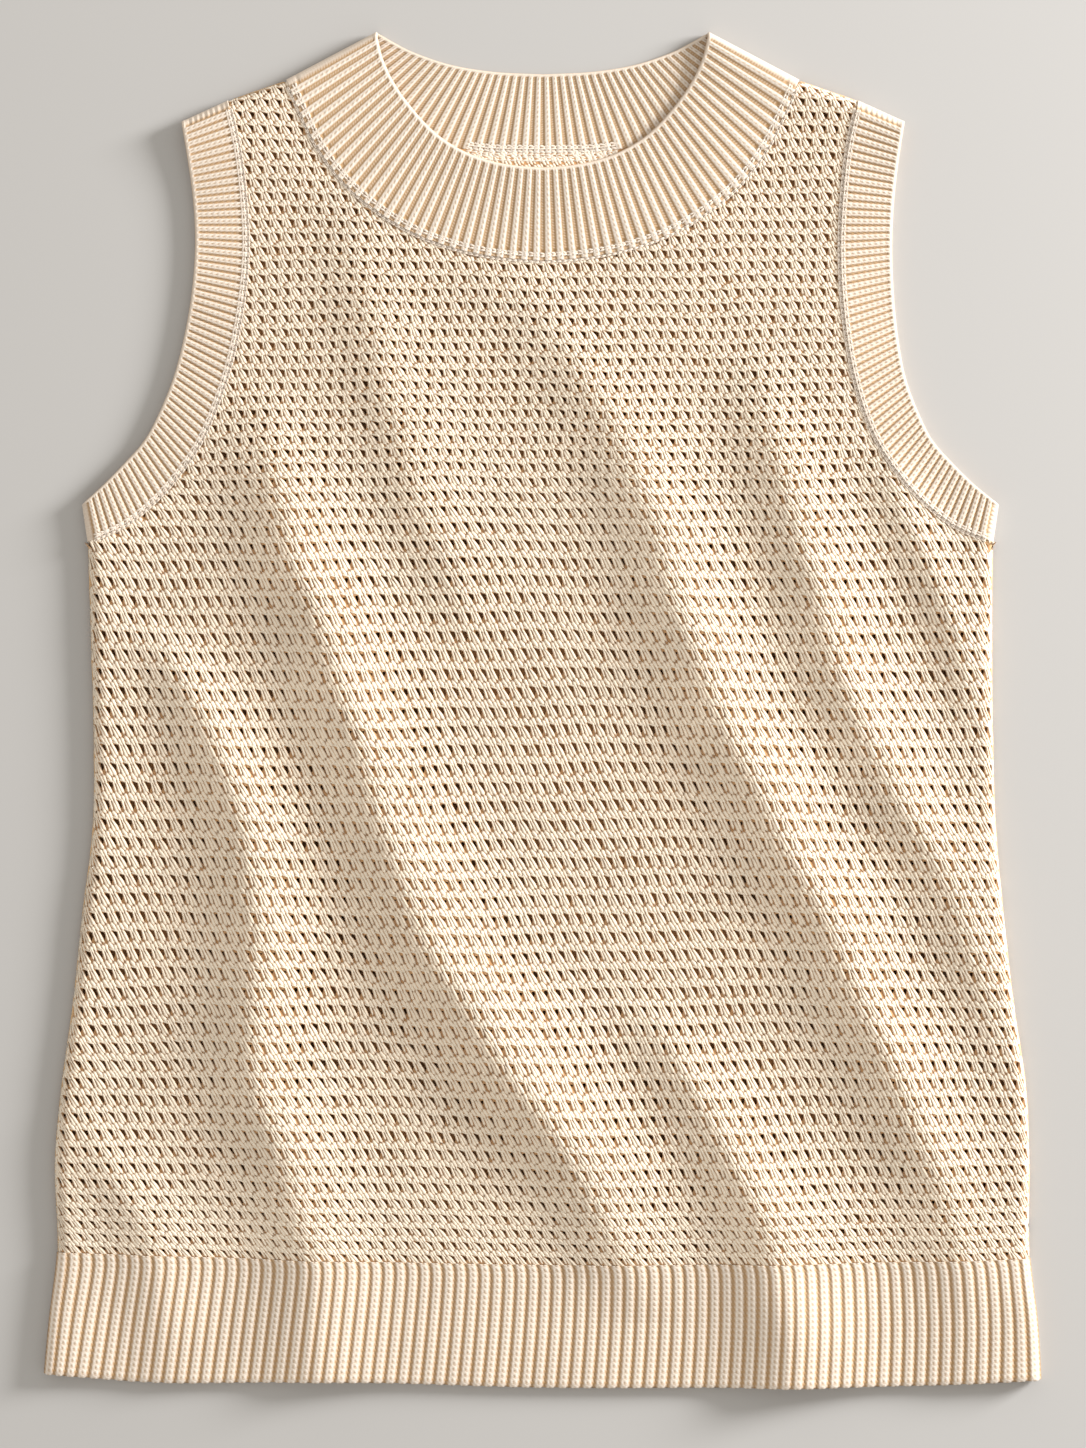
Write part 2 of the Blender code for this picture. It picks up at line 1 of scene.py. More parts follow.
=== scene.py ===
import bpy
import numpy as np
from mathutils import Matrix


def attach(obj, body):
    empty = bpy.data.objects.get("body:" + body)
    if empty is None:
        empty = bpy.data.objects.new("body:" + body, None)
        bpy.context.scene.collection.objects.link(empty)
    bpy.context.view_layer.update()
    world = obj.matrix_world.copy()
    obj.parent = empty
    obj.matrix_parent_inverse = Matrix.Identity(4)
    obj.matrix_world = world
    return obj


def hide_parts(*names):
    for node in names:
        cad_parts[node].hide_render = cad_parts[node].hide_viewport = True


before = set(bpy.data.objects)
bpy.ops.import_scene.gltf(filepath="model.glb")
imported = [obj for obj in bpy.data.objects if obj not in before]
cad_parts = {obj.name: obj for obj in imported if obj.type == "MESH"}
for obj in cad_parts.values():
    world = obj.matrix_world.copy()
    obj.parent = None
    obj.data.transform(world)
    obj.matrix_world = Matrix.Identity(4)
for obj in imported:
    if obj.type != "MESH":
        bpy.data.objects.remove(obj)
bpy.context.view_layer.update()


# The front of the body: one panel of openwork knit in ecru cotton, shaped at the armholes and
# the neck as it is knitted. It lies on the back panel, rolls over at its sides and shoulders,
# and is pushed up into soft slanting folds. Its cut and its folds are those of the CAD solid.

# Lengths are in millimetres, and MM turns them to metres. Where the panels roll over, the front
# comes down to LIP over the floor and the back up to BACK_LIP.
MM = 0.001
BODY_WALL = 2.4
LAYER_GAP = 0.3
LIP = 3.3
BACK_LIP = 3.0
TURN = 6.0
TURN_RUN = 8.3
EDGE_RISE = 2.6
EDGE_REACH = 22.0
UNDERARM_Y = 82.0
UNDERARM_FADE = 60.0
HEM_FADE = 110.0
NO_EDGE = 99

# The narrow crest on top of a fold: its height and width as shares of the fold's, and how far it
# lies towards the wearer's left.
CREST_HEIGHT = 0.13
CREST_WIDTH = 0.34
CREST_SHIFT = 1.5

# Height, and the outer edge there on the wearer's right and left.
sides = np.array([
    (-333, -244.8, 244.8), (-305, -242.2, 243.2), (-270, -238.2, 239.2), (-220, -239.4, 239.0),
    (-187, -236.6, 237.6), (-144, -230.6, 231.4), (-100, -226.0, 226.4), (-59, -221.0, 222.7),
    (-15, -220.4, 221.2), (29, -221.6, 220.7), (82, -223.2, 221.0)])
RIGHT, LEFT = 1, 2

# Place across the garment, the seam between body and hem, and the hem's free edge.
hem = np.array([
    (-245, -265.5, -325.4), (-200, -267.0, -329.2), (-100, -270.0, -329.4), (0, -272.0, -332.3),
    (100, -271.5, -332.1), (200, -270.0, -330.8), (245, -268.5, -328.4)])
SEAM, EDGE = 1, 2

# The wearer's left armhole from underarm to shoulder: x and y of the band's seam, x and y of
# its free edge, and how much further out the other armhole lies.
armhole = np.array([
    (221.0, 82.0, 223.7, 100.5, 2.2), (202.0, 90.0, 211.5, 110.5, 3.6),
    (186.0, 102.5, 200.5, 121.5, 4.0), (174.0, 116.0, 191.0, 132.5, 4.0),
    (163.5, 132.5, 184.0, 146.5, 3.6), (155.8, 152.0, 178.0, 163.0, 3.0),
    (150.4, 174.0, 174.4, 182.0, 1.6), (147.0, 200.0, 172.2, 203.5, 0.0),
    (145.8, 226.0, 171.4, 226.5, -1.0), (146.8, 250.0, 172.2, 248.0, -1.0),
    (149.4, 275.0, 174.4, 268.5, -0.6), (154.6, 299.0, 177.4, 288.6, -0.4)])

# Half the neck from its middle to the shoulder: the neckband's seam, and its free edge.
front_neck = np.array([
    (0.0, 220.0, 0.0, 266.0), (23.0, 222.0, 14.5, 267.2), (44.0, 226.5, 28.0, 270.0),
    (64.0, 234.0, 40.5, 275.0), (82.0, 245.0, 52.5, 283.0), (98.0, 259.0, 63.0, 294.0),
    (110.5, 276.0, 72.5, 307.0), (119.0, 293.0, 78.6, 320.0), (126.0, 309.0, 81.4, 332.5)])
back_neck = np.array([
    (0.0, 273.0, 0.0, 312.0), (31.0, 274.2, 24.0, 313.2), (62.0, 280.5, 45.0, 316.6),
    (92.0, 291.5, 62.5, 322.4), (112.0, 301.5, 73.0, 327.6), (126.0, 309.0, 81.4, 332.5)])

# The folds, each from its top to its foot: height up the garment, place across, how far it
# stands up, and the widths of its two slopes.
folds = (
    ((160, -138, 0.0, 22, 24), (100, -128, 7.0, 23, 27), (20, -101, 10.5, 24, 29),
     (-50, -79, 11.5, 26, 32), (-110, -57, 12.0, 29, 36), (-160, -27, 12.0, 30, 38),
     (-210, 8, 10.5, 28, 36), (-255, 33, 6.0, 24, 30), (-300, 48, 0.0, 22, 26)),
    ((45, -196, 0.0, 16, 22), (0, -168, 6.5, 18, 23), (-50, -148, 9.0, 21, 25),
     (-110, -140, 9.5, 22, 27), (-180, -140, 9.0, 22, 27), (-230, -124, 8.0, 22, 28),
     (-275, -113, 5.5, 22, 28), (-334, -110, 4.5, 22, 28)),
    ((225, -22, 0.0, 24, 26), (165, 20, 4.0, 24, 26), (108, 50, 7.0, 24, 27),
     (50, 67, 9.5, 24, 28), (0, 87, 10.5, 26, 30), (-50, 112, 10.5, 26, 30),
     (-100, 138, 10.0, 26, 28), (-150, 160, 9.5, 25, 26), (-200, 182, 8.0, 24, 24),
     (-250, 200, 5.0, 24, 24), (-334, 212, 1.5, 24, 24)),
    ((180, 103, 0.0, 16, 20), (125, 115, 5.5, 19, 22), (70, 131, 7.5, 20, 24),
     (5, 151, 8.0, 21, 25), (-40, 173, 7.5, 22, 25), (-85, 198, 6.0, 22, 24),
     (-130, 213, 4.0, 20, 20), (-180, 224, 0.0, 18, 18)),
    ((-140, 50, 0.0, 18, 22), (-172, 67, 5.0, 20, 25), (-206, 86, 8.0, 22, 28),
     (-245, 106, 9.0, 23, 30), (-290, 118, 8.5, 24, 30), (-334, 122, 8.0, 24, 30)),
    ((262, -98, 0.0, 16, 24), (210, -88, 2.8, 18, 28), (155, -75, 3.8, 18, 30),
     (105, -60, 3.6, 18, 30), (60, -43, 2.4, 18, 26), (25, -34, 0.0, 16, 22)),
    ((135, 163, 0.0, 11, 13), (98, 177, 3.4, 13, 15), (64, 192, 4.2, 13, 15),
     (28, 204, 3.0, 12, 14), (-10, 210, 0.0, 11, 12)),
    ((-190, -228, 0.0, 15, 18), (-225, -212, 2.8, 16, 20), (-260, -193, 3.4, 17, 21),
     (-295, -187, 2.6, 16, 20), (-334, -184, 0.8, 15, 18)),
)


def smooth(at, knots, values):
    """Value at each place in at, on a smooth curve through values at increasing knots."""
    knots = np.asarray(knots, float)
    values = np.asarray(values, float)
    slopes = np.gradient(values, knots)
    at = np.clip(at, knots[0], knots[-1])
    i = np.clip(np.searchsorted(knots, at, side="right") - 1, 0, len(knots) - 2)
    width = knots[i + 1] - knots[i]
    t = (at - knots[i]) / width
    rise = values[i + 1] - values[i]
    start = slopes[i] * width
    end = slopes[i + 1] * width
    curve = 3 * rise - 2 * start - end + t * (start + end - 2 * rise)
    return values[i] + t * (start + t * curve)


def side_x(y, which):
    """The outer edge of body and hem at height y."""
    return smooth(y, sides[:, 0], sides[:, which])


def hem_y(x, which):
    """The hem's seam or free edge at x."""
    return smooth(x, hem[:, 0], hem[:, which])


def path(xs, ys):
    """A fine polyline along the smooth curve through the given points."""
    steps = np.arange(len(xs))
    t = np.linspace(0, len(xs) - 1, 12 * (len(xs) - 1) + 1)
    return np.stack([smooth(t, steps, xs), smooth(t, steps, ys)], axis=-1)


def lengths(line):
    """Distance of each point of a polyline from its start."""
    return np.concatenate([[0.0], np.cumsum(np.linalg.norm(np.diff(line, axis=0), axis=1))])


def along(line, fractions):
    """Points of a polyline at fractions of its length."""
    run = lengths(line)
    at = np.asarray(fractions) * run[-1]
    return np.stack([np.interp(at, run, line[:, 0]), np.interp(at, run, line[:, 1])], axis=-1)


def armhole_path(side, edge):
    """The seam (0) or free edge (2) of an armhole, from underarm to shoulder. side is 1 or -1."""
    xs = armhole[:, edge] if side > 0 else -(armhole[:, edge] + armhole[:, 4])
    return path(xs, armhole[:, edge + 1])


def neck_path(table, edge):
    """The seam (0) or free edge (2) of the neck, from the wearer's right shoulder to the left."""
    half = path(table[:, edge], table[:, edge + 1])
    return np.concatenate([half[:0:-1] * [-1, 1], half])


def line_distance(x, y, inner, outer):
    """How far below the line from inner to outer a point lies, on either side of the body."""
    run = (outer - inner) / np.linalg.norm(outer - inner)
    return (inner[1] - y) * run[0] + (np.abs(x) - inner[0]) * run[1]


def lift(x, y):
    """Height of the front layer over the flat one: its rolled edges, and a bell for each fold.

    A narrow bell on top of the wide one gives each fold its crisp, slightly uneven crest.
    """
    gap = np.minimum(side_x(y, LEFT) - x, x - side_x(y, RIGHT))
    above = np.clip((y - UNDERARM_Y) / UNDERARM_FADE, 0, 1)
    shoulder = line_distance(x, y, front_neck[-1, 2:], armhole[-1, 2:4])
    total = np.maximum(np.exp(-(gap / EDGE_REACH) ** 2) * (1 - above),
                       np.exp(-(shoulder / EDGE_REACH) ** 2)) * EDGE_RISE
    for fold in folds:
        levels, crest, height, left, right = np.array(fold[::-1], float).T
        across = x - smooth(y, levels, crest)
        width = np.where(across < 0, smooth(y, levels, left), smooth(y, levels, right))
        high = np.clip(smooth(y, levels, height), 0, None)
        high = np.where((y >= levels[0]) & (y <= levels[-1]), high, 0)
        uneven = 1 + 0.05 * np.sin(y / 8.5 + x / 23)
        total = total + high * uneven * np.exp(-(across / width) ** 2)
        from_crest = (across - CREST_SHIFT) / (CREST_WIDTH * width)
        total = total + CREST_HEIGHT * high * np.exp(-from_crest**2)
    return total


def front_inside(x, y):
    """Height of the inside of the front layer over the floor."""
    return BODY_WALL + LAYER_GAP + lift(x, y)


def bunched(x, y):
    """How far the eyelets close where the cloth is pushed into a fold: 0 on the flat, up to 1."""
    return np.clip((lift(x, y) - 1.5) / 6.0, 0, 1)


def turned(x, y):
    """How far the cloth faces the wearer's right, where a fold presses its stitches together."""
    return np.clip((lift(x + 1, y) - lift(x - 1, y) - 0.1) / 0.7, 0, 1)


def slope_factor(x, y):
    """How much taller the wall is measured upright where the cloth slopes."""
    across = lift(x + 0.5, y) - lift(x - 0.5, y)
    upwards = lift(x, y + 0.5) - lift(x, y - 0.5)
    return np.sqrt(1 + across**2 + upwards**2)


def roll_over(gap, up):
    """Where cloth within 6 mm of its edge goes: down a quarter of an ellipse about a centre there.

    Gives the new distance from the edge, and the share of the height that is left.
    """
    angle = np.clip((TURN - gap) / TURN_RUN, 0, 1) * np.pi / 2
    return np.where(angle > 0, TURN - (TURN - BODY_WALL + up) * np.sin(angle), gap), np.cos(angle)


def body_cloth(x, y, up, layer):
    """Points of a body layer in metres, at a height up through its wall, with its edges rolled.

    The front's height is that of its folds. The back lies flat, and comes up to meet it.
    """
    left_gap = np.where(y < UNDERARM_Y, side_x(y, LEFT) - x, NO_EDGE)
    right_gap = np.where(y < UNDERARM_Y, x - side_x(y, RIGHT), NO_EDGE)
    new_left, left_share = roll_over(left_gap, up)
    new_right, right_share = roll_over(right_gap, up)
    x = x + left_gap - new_left - right_gap + new_right
    inner, outer = front_neck[-1, :2], armhole[-1, :2]
    run = (outer - inner) / np.linalg.norm(outer - inner)
    gap = line_distance(x, y, inner, outer)
    new_gap, top_share = roll_over(gap, up)
    x = x + (new_gap - gap) * run[1] * np.sign(x)
    y = y - (new_gap - gap) * run[0]
    share = left_share * right_share * top_share
    if layer == "front":
        z = LIP + (front_inside(x, y) + up * slope_factor(x, y) - LIP) * share
    else:
        z = BACK_LIP + (BODY_WALL - up - BACK_LIP) * share
    return np.stack([x, y, np.maximum(z, 0)], axis=-1) * MM


def body_outline(neck_table):
    """The panel's outline before its sides and shoulders roll over, once round."""
    past = TURN_RUN - TURN
    ys = np.linspace(-269.0, UNDERARM_Y - 0.4, 60)
    left = np.stack([side_x(ys, LEFT) + past, ys], axis=-1)
    right = np.stack([side_x(ys, RIGHT) - past, ys], axis=-1)
    xs = np.linspace(right[0, 0], left[0, 0], 50)
    bottom = np.stack([xs, hem_y(xs, SEAM)], axis=-1)
    neck = neck_path(neck_table, 0)
    arms = [armhole_path(side, 0) for side in (1, -1)]
    run = neck[-1] - arms[0][-1]
    out = np.array([-run[1], run[0]]) / np.linalg.norm(run) * -past
    tips = [arms[0][-1] + out, neck[-1] + out,
            neck[0] + out * [-1, 1], arms[1][-1] + out * [-1, 1]]
    return np.concatenate([bottom, left[1:], arms[0], tips[:2], neck[::-1], tips[2:],
                           arms[1][::-1], right[:0:-1]])


def inside(x, y, outline):
    """Whether each point is inside the outline, by counting the edges to its right."""
    x0, y0 = outline.T
    x1, y1 = np.roll(outline, -1, axis=0).T
    found = np.zeros(x.shape, bool)
    for ax, ay, bx, by in zip(x0, y0, x1, y1):
        if ay != by:
            found ^= ((ay > y) != (by > y)) & (x < ax + (y - ay) * (bx - ax) / (by - ay))
    return found


def brought_in(x, y, outline):
    """The points, with each one outside the outline moved to the nearest place on it."""
    out = ~inside(x, y, outline)
    px, py = x[out], y[out]
    nearest = np.full(px.shape, np.inf)
    best_x, best_y = px.copy(), py.copy()
    for a, b in zip(outline, np.roll(outline, -1, axis=0)):
        run = b - a
        t = np.clip(((px - a[0]) * run[0] + (py - a[1]) * run[1]) / max(run @ run, 1e-9), 0, 1)
        qx, qy = a[0] + t * run[0], a[1] + t * run[1]
        far = (px - qx) ** 2 + (py - qy) ** 2
        near = far < nearest
        nearest = np.where(near, far, nearest)
        best_x, best_y = np.where(near, qx, best_x), np.where(near, qy, best_y)
    x, y = x.copy(), y.copy()
    x[out], y[out] = best_x, best_y
    return x, y


# The stitch pattern: eyelets 6.1 mm apart. Their rows are 6.6 mm apart over the hem's ribs and
# again over the chest, and 9.2 mm apart between. Going up, the columns lean to the wearer's left.
HEM_PITCH = 5.894
BODY_PITCH = 6.1
PATTERN_TOP = 345
row_pitch = np.array([
    (-254, 6.6), (-240, 8.2), (-200, 8.9), (-60, 9.2), (20, 9.3), (70, 8.7), (100, 7.6),
    (122, 6.6)])
column_lean = np.array([(-270, 0), (100, 46), (360, 68)])
row_heights = [hem_y(0.0, SEAM) - 4.2, hem_y(0.0, SEAM) + 2.5]
while row_heights[-1] < PATTERN_TOP:
    row_heights.append(row_heights[-1] + np.interp(row_heights[-1], *row_pitch.T))
row_heights = np.array(row_heights)
ROWS = len(row_heights) - 2
pattern_columns = np.arange(-58, 52)


def stitch_place(column, row):
    """x and y of a place in the stitch pattern. Whole numbers are the middles of eyelets.

    Rows follow the hem's seam near it, and both ways wander by a fraction of a millimetre.
    """
    y = np.interp(row, np.arange(len(row_heights)) - 1, row_heights)
    near = np.clip((y - hem[3, SEAM]) / HEM_FADE, 0, 1)
    pitch = HEM_PITCH + (BODY_PITCH - HEM_PITCH) * near
    x = (column + 0.5) * pitch + np.interp(y, *column_lean.T)
    wander = 0.7 * np.sin(y / 31 + x / 47) + 0.45 * np.sin(y / 13 - x / 29 + 2)
    y = y + (hem_y(x, SEAM) - hem[3, SEAM]) * (1 - near)
    y = y + (0.9 * np.sin(x / 43 + y / 67 + 1) + 0.35 * np.sin(x / 11 + y / 19)) * near
    return x + wander * near, y


def srgb(code):
    """Linear colour of an sRGB hex code."""
    part = np.array([int(code[k:k + 2], 16) for k in (1, 3, 5)]) / 255
    return (*np.where(part <= 0.04045, part / 12.92, ((part + 0.055) / 1.055) ** 2.4), 1)


def node(tree, kind, settings=(), links=(), **values):
    """Adds one node. settings are attributes, values are sockets, links are (socket, output)."""
    made = tree.nodes.new(kind)
    for name, value in dict(settings).items():
        setattr(made, name, value)
    for name, value in values.items():
        made.inputs[name.replace("_", " ")].default_value = value
    for socket, output in dict(links).items():
        tree.links.new(output, made.inputs[socket])
    return made


# The yarn's plies twist about every 0.7 mm, and its dye changes over some 45 mm.
TWISTS_A_METRE = 1400.0
DYES_A_METRE = 22.0


def cotton_yarn(name, light, shade, roughness):
    """Matt plied cotton with painted light on stitch crowns and painted shade between them.

    A point's painted light mixes the lit colour with the brown of the painted shade. Fine noise is
    the fuzz and the twist of the plies, which also moves the painted light by up to 0.18 either
    way. Slow noise is the uneven dye of the yarn.
    """
    material = bpy.data.materials.new(name)
    material.use_nodes = True
    tree = material.node_tree
    shader = tree.nodes["Principled BSDF"]
    place = node(tree, "ShaderNodeTexCoord").outputs["Object"]
    painted_light = node(tree, "ShaderNodeAttribute", {"attribute_name": "painted_light"}).outputs["Fac"]
    fuzz = node(tree, "ShaderNodeTexNoise", links={"Vector": place}, Scale=TWISTS_A_METRE,
                Detail=3.0)
    dye = node(tree, "ShaderNodeTexNoise", links={"Vector": place}, Scale=DYES_A_METRE,
               Detail=2.0)
    lift_by = node(tree, "ShaderNodeMath", {"operation": "MULTIPLY_ADD"},
                   {0: fuzz.outputs["Fac"], 2: painted_light})
    lift_by.inputs[1].default_value = 0.36
    drop = node(tree, "ShaderNodeMath", {"operation": "SUBTRACT", "use_clamp": True},
                {0: lift_by.outputs[0]})
    drop.inputs[1].default_value = 0.18
    yarn = node(tree, "ShaderNodeMix", {"data_type": "RGBA"}, {0: drop.outputs[0]})
    yarn.inputs[6].default_value = srgb(shade)
    yarn.inputs[7].default_value = srgb(light)
    uneven = node(tree, "ShaderNodeMapRange", links={"Value": dye.outputs["Fac"]},
                  From_Min=0.3, From_Max=0.7, To_Min=0.95, To_Max=1.04)
    tinted = node(tree, "ShaderNodeVectorMath", {"operation": "SCALE"},
                  {0: yarn.outputs[2], "Scale": uneven.outputs[0]})
    tree.links.new(tinted.outputs[0], shader.inputs["Base Color"])
    bump = node(tree, "ShaderNodeBump", links={"Height": fuzz.outputs["Fac"]}, Strength=0.35,
                Distance=0.0004)
    tree.links.new(bump.outputs[0], shader.inputs["Normal"])
    shader.inputs["Roughness"].default_value = roughness
    shader.inputs["Specular IOR Level"].default_value = 0.15
    shader.inputs["Sheen Weight"].default_value = 0.05
    shader.inputs["Sheen Roughness"].default_value = 0.5
    return material


def knit_piece(name, points, triangles, painted_light, material, slot):
    """One piece from whole arrays: points in metres, triangles, and each point's painted light."""
    used, triangles = np.unique(triangles, return_inverse=True)
    triangles = triangles.reshape(-1, 3)
    mesh = bpy.data.meshes.new(name)
    mesh.vertices.add(len(used))
    mesh.vertices.foreach_set("co", points[used].astype(np.float32).ravel())
    mesh.loops.add(triangles.size)
    mesh.loops.foreach_set("vertex_index", triangles.astype(np.int32).ravel())
    mesh.polygons.add(len(triangles))
    mesh.polygons.foreach_set("loop_start", np.arange(len(triangles), dtype=np.int32) * 3)
    mesh.update(calc_edges=True)
    shade = mesh.attributes.new("painted_light", "FLOAT", "POINT")
    shade.data.foreach_set("value", painted_light[used].astype(np.float32))
    mesh.materials.append(material)
    mesh.shade_smooth()
    piece = bpy.data.objects.new(name, mesh)
    bpy.context.collection.objects.link(piece)
    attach(piece, "root")
    return piece


# Square millimetres: a cut cell smaller than SMALLEST_CELL is left out, and one smaller than
# FULL_CELL has a smaller eyelet.
SMALLEST_CELL = 1.0
FULL_CELL = 40

# The back's inside shows through the neck opening above this height, and this far to each side.
# There its painted shade is less, where the front layer no longer shades it.
SHOWN_ABOVE = 256
SHOWN_WITHIN = 62

# One eyelet, in a cell of 6 by 8 mm. The front's is a drop that points down, with its tail to
# the right. Its first three points are under the loop that bridges it. The back's is a diamond.
CELL_WIDTH = 6.0
CELL_HEIGHT = 8.0
drop = np.array([(-1.5, 1.5), (-0.1, 1.8), (1.4, 1.2), (1.2, -0.6), (0.9, -2.6), (-0.7, -0.6)])
drop_faces = np.array([(0, 1, 8), (1, 7, 8), (1, 2, 7), (2, 6, 7), (2, 5, 6), (2, 3, 5), (3, 4, 5),
                       (3, 9, 4), (3, 0, 9), (0, 8, 9)])
diamond = np.array([(0.1, 1.3), (1.0, 0.4), (0.2, -1.7), (-0.9, 0.3)])
diamond_faces = np.array([(0, 1, 6), (1, 5, 6), (1, 2, 5), (2, 4, 5), (2, 3, 4), (3, 7, 4),
                          (3, 0, 7), (0, 6, 7)])


def eyelet_ground(outline, layer, hole, ring, heights, shift, seed):
    """The closed shell under the stitches, one cell to an eyelet, and open at each one.

    A cell has four corners, its hole's points and the ring of triangles between them, on both
    faces. Walls join the faces round each hole and round the panel. heights are how far up the
    wall lie the underside, the cell's corners, the hole's rim and its first three points. shift
    is how far the cells are moved along the rows and columns.
    """
    columns = pattern_columns + shift
    rows = np.arange(-1, ROWS) + shift
    corner_x, corner_y = stitch_place(columns[None, :] - 0.5, rows[:, None] - 0.5)
    held = inside(corner_x, corner_y, outline)
    kept = held[:-1, :-1] | held[:-1, 1:] | held[1:, 1:] | held[1:, :-1]
    fit = np.stack(brought_in(corner_x, corner_y, outline), axis=-1).round(3)
    rising, falling = fit[1:, 1:] - fit[:-1, :-1], fit[1:, :-1] - fit[:-1, 1:]
    area = 0.5 * np.abs(rising[..., 0] * falling[..., 1] - falling[..., 0] * rising[..., 1])
    kept &= area > SMALLEST_CELL
    spots, first, numbers = np.unique(fit.reshape(-1, 2), axis=0, return_index=True,
                                      return_inverse=True)
    numbers = numbers.reshape(corner_x.shape)
    row, column = np.nonzero(kept)
    corners = np.stack([numbers[row, column], numbers[row, column + 1],
                        numbers[row + 1, column + 1], numbers[row + 1, column]], axis=-1)
    flat_x, flat_y = spots.T
    cx, cy = flat_x[corners], flat_y[corners]
    random = np.random.default_rng(seed)
    size = np.clip(area[kept] / FULL_CELL, 0.05, 1.1) * random.uniform(0.86, 1.14, len(row))
    size *= 1 - 0.72 * bunched(cx.mean(1), cy.mean(1))
    s = 0.5 + hole[None, :, 0] / CELL_WIDTH * size[:, None]
    t = 0.5 + hole[None, :, 1] / CELL_HEIGHT * size[:, None]
    weights = np.stack([(1 - s) * (1 - t), s * (1 - t), s * t, (1 - s) * t], axis=-1)
    hole_x = (weights * cx[:, None, :]).sum(-1)
    hole_y = (weights * cy[:, None, :]).sum(-1)
    under, corner_up, rim_up, bridge_up = heights
    rim = np.full(hole_x.shape, rim_up)
    rim[:, :3] = bridge_up
    corner_count = flat_x.size
    x = np.concatenate([flat_x, hole_x.ravel()])
    y = np.concatenate([flat_y, hole_y.ravel()])
    up = np.concatenate([np.full(corner_count, corner_up), rim.ravel()])
    count = len(x)
    top = body_cloth(x, y, up, layer)
    bottom = body_cloth(x, y, np.full(count, under), layer)
    points = np.concatenate([top, bottom])
    # Painted light of the corners, the rims and the underside. The front's top is painted with the
    # shade between its stitches, a little less at the holes' rims, and both layers' insides with
    # the shade between them, which is less in the neck opening. The back's outside and the corners
    # on the panel's edge are painted light.
    between = 0.25 if layer == "front" else 0.85
    shaded = [np.where(held.ravel()[first], between, 0.9), np.full(hole_x.size, 0.15 + between)]
    in_neck = (y > SHOWN_ABOVE) & (np.abs(x) < SHOWN_WITHIN)
    painted_light = np.concatenate(shaded + [np.where(in_neck, 0.3, 0.15)])
    hole_ids = corner_count + np.arange(hole_x.size).reshape(hole_x.shape)
    cell = np.concatenate([corners, hole_ids], axis=1)
    faces = cell[:, ring].reshape(-1, 3)
    after = np.roll(hole_ids, -1, axis=1)
    walls = np.stack([after, hole_ids, hole_ids + count, after + count], axis=-1).reshape(-1, 4)
    borders = []
    padded = np.pad(kept, 1)
    for a, b, gone in ((0, 1, padded[:-2, 1:-1]), (1, 2, padded[1:-1, 2:]),
                       (2, 3, padded[2:, 1:-1]), (3, 0, padded[1:-1, :-2])):
        open_side = ~gone[row, column]
        first, second = corners[open_side, a], corners[open_side, b]
        borders.append(np.stack([second, first, first + count, second + count], axis=-1))
    walls = np.concatenate([walls] + borders)
    walls = np.concatenate([walls[:, [0, 1, 2]], walls[:, [0, 2, 3]]])
    faces = np.concatenate([faces, faces[:, ::-1] + count, walls])
    if layer == "back":
        faces = faces[:, ::-1]
    whole = (faces != np.roll(faces, 1, axis=1)).all(axis=1)
    return points, faces[whole], painted_light


# Triangles of one leg of a stitch. Its eight corners are a low tip, two three-sided rings with a
# ridge on top, and a low tip again.
leg_faces = np.array([
    (0, 2, 3), (0, 3, 1), (0, 1, 2), (2, 5, 6), (2, 6, 3), (3, 6, 4), (3, 4, 1), (1, 4, 5),
    (1, 5, 2), (7, 6, 5), (7, 4, 6), (7, 5, 4)])

# Painted light of a leg's foot, then of its ridge at each ring, and of its tips: painted shade low
# down between the strands, and the lit colour on their ridges.
leg_painted_light = np.array([0.15, 1.3, 1.3, 0.6])

CHAIN_LINK = 2.7


def stitch_legs(axis_x, axis_y, width, heights, place):
    """Legs of stitches. Each is a ridge over four points of its axis, from a tip to a tip.

    axis_x and axis_y have a row for each leg, and width half its width at its two rings. heights
    are those of its foot, its ridge at each ring, and its tips. place turns them to points.
    """
    dx = axis_x[:, 2] - axis_x[:, 1]
    dy = axis_y[:, 2] - axis_y[:, 1]
    run = np.maximum(np.hypot(dx, dy), 1e-6)
    point = np.array([0, 1, 1, 1, 2, 2, 2, 3])
    side = np.array([0, 1, -1, 0, 1, -1, 0, 0]) * width[:, [0, 0, 0, 0, 1, 1, 1, 1]]
    level = np.array([3, 0, 0, 1, 0, 0, 2, 3])
    x = axis_x[:, point] - side * (dy / run)[:, None]
    y = axis_y[:, point] + side * (dx / run)[:, None]
    points = place(x.ravel(), y.ravel(), heights[:, level].ravel())
    painted_light = np.tile(leg_painted_light[level], len(dx))
    faces = (leg_faces[None] + 8 * np.arange(len(dx))[:, None, None]).reshape(-1, 3)
    return points, faces, painted_light


def chain_legs(seam, edge, first, last, offset, spread, width, heights):
    """Legs of the linking chain along a seam, from first to last of its length.

    Each link has two legs that lean together, on either side of a line at offset from the seam.
    """
    run = lengths(seam)[-1]
    links = int((last - first) * run / CHAIN_LINK)
    at = first + (last - first) * (np.arange(links)[:, None] + [-0.2, 0.0, 0.75, 1.05]) / links
    at = np.concatenate([at, at])
    base, toward = (along(line, at.ravel()).reshape(*at.shape, 2) for line in (seam, edge))
    across = (toward - base) / np.linalg.norm(toward - base, axis=-1, keepdims=True)
    side = np.repeat([1.0, -1.0], links)[:, None] * [1.1, 1.05, 0.6, 0.4]
    spots = base + across * (offset + spread * side)[..., None]
    return (spots[..., 0], spots[..., 1], np.full((len(at), 2), width),
            np.tile(heights, (len(at), 1)))


# Each yarn's own ecru on the crowns of its stitches, and the brown of the painted shade between
# them.
openwork_yarn = cotton_yarn("openwork_cotton_yarn", "#EFE2CF", "#CFA070", 0.85)
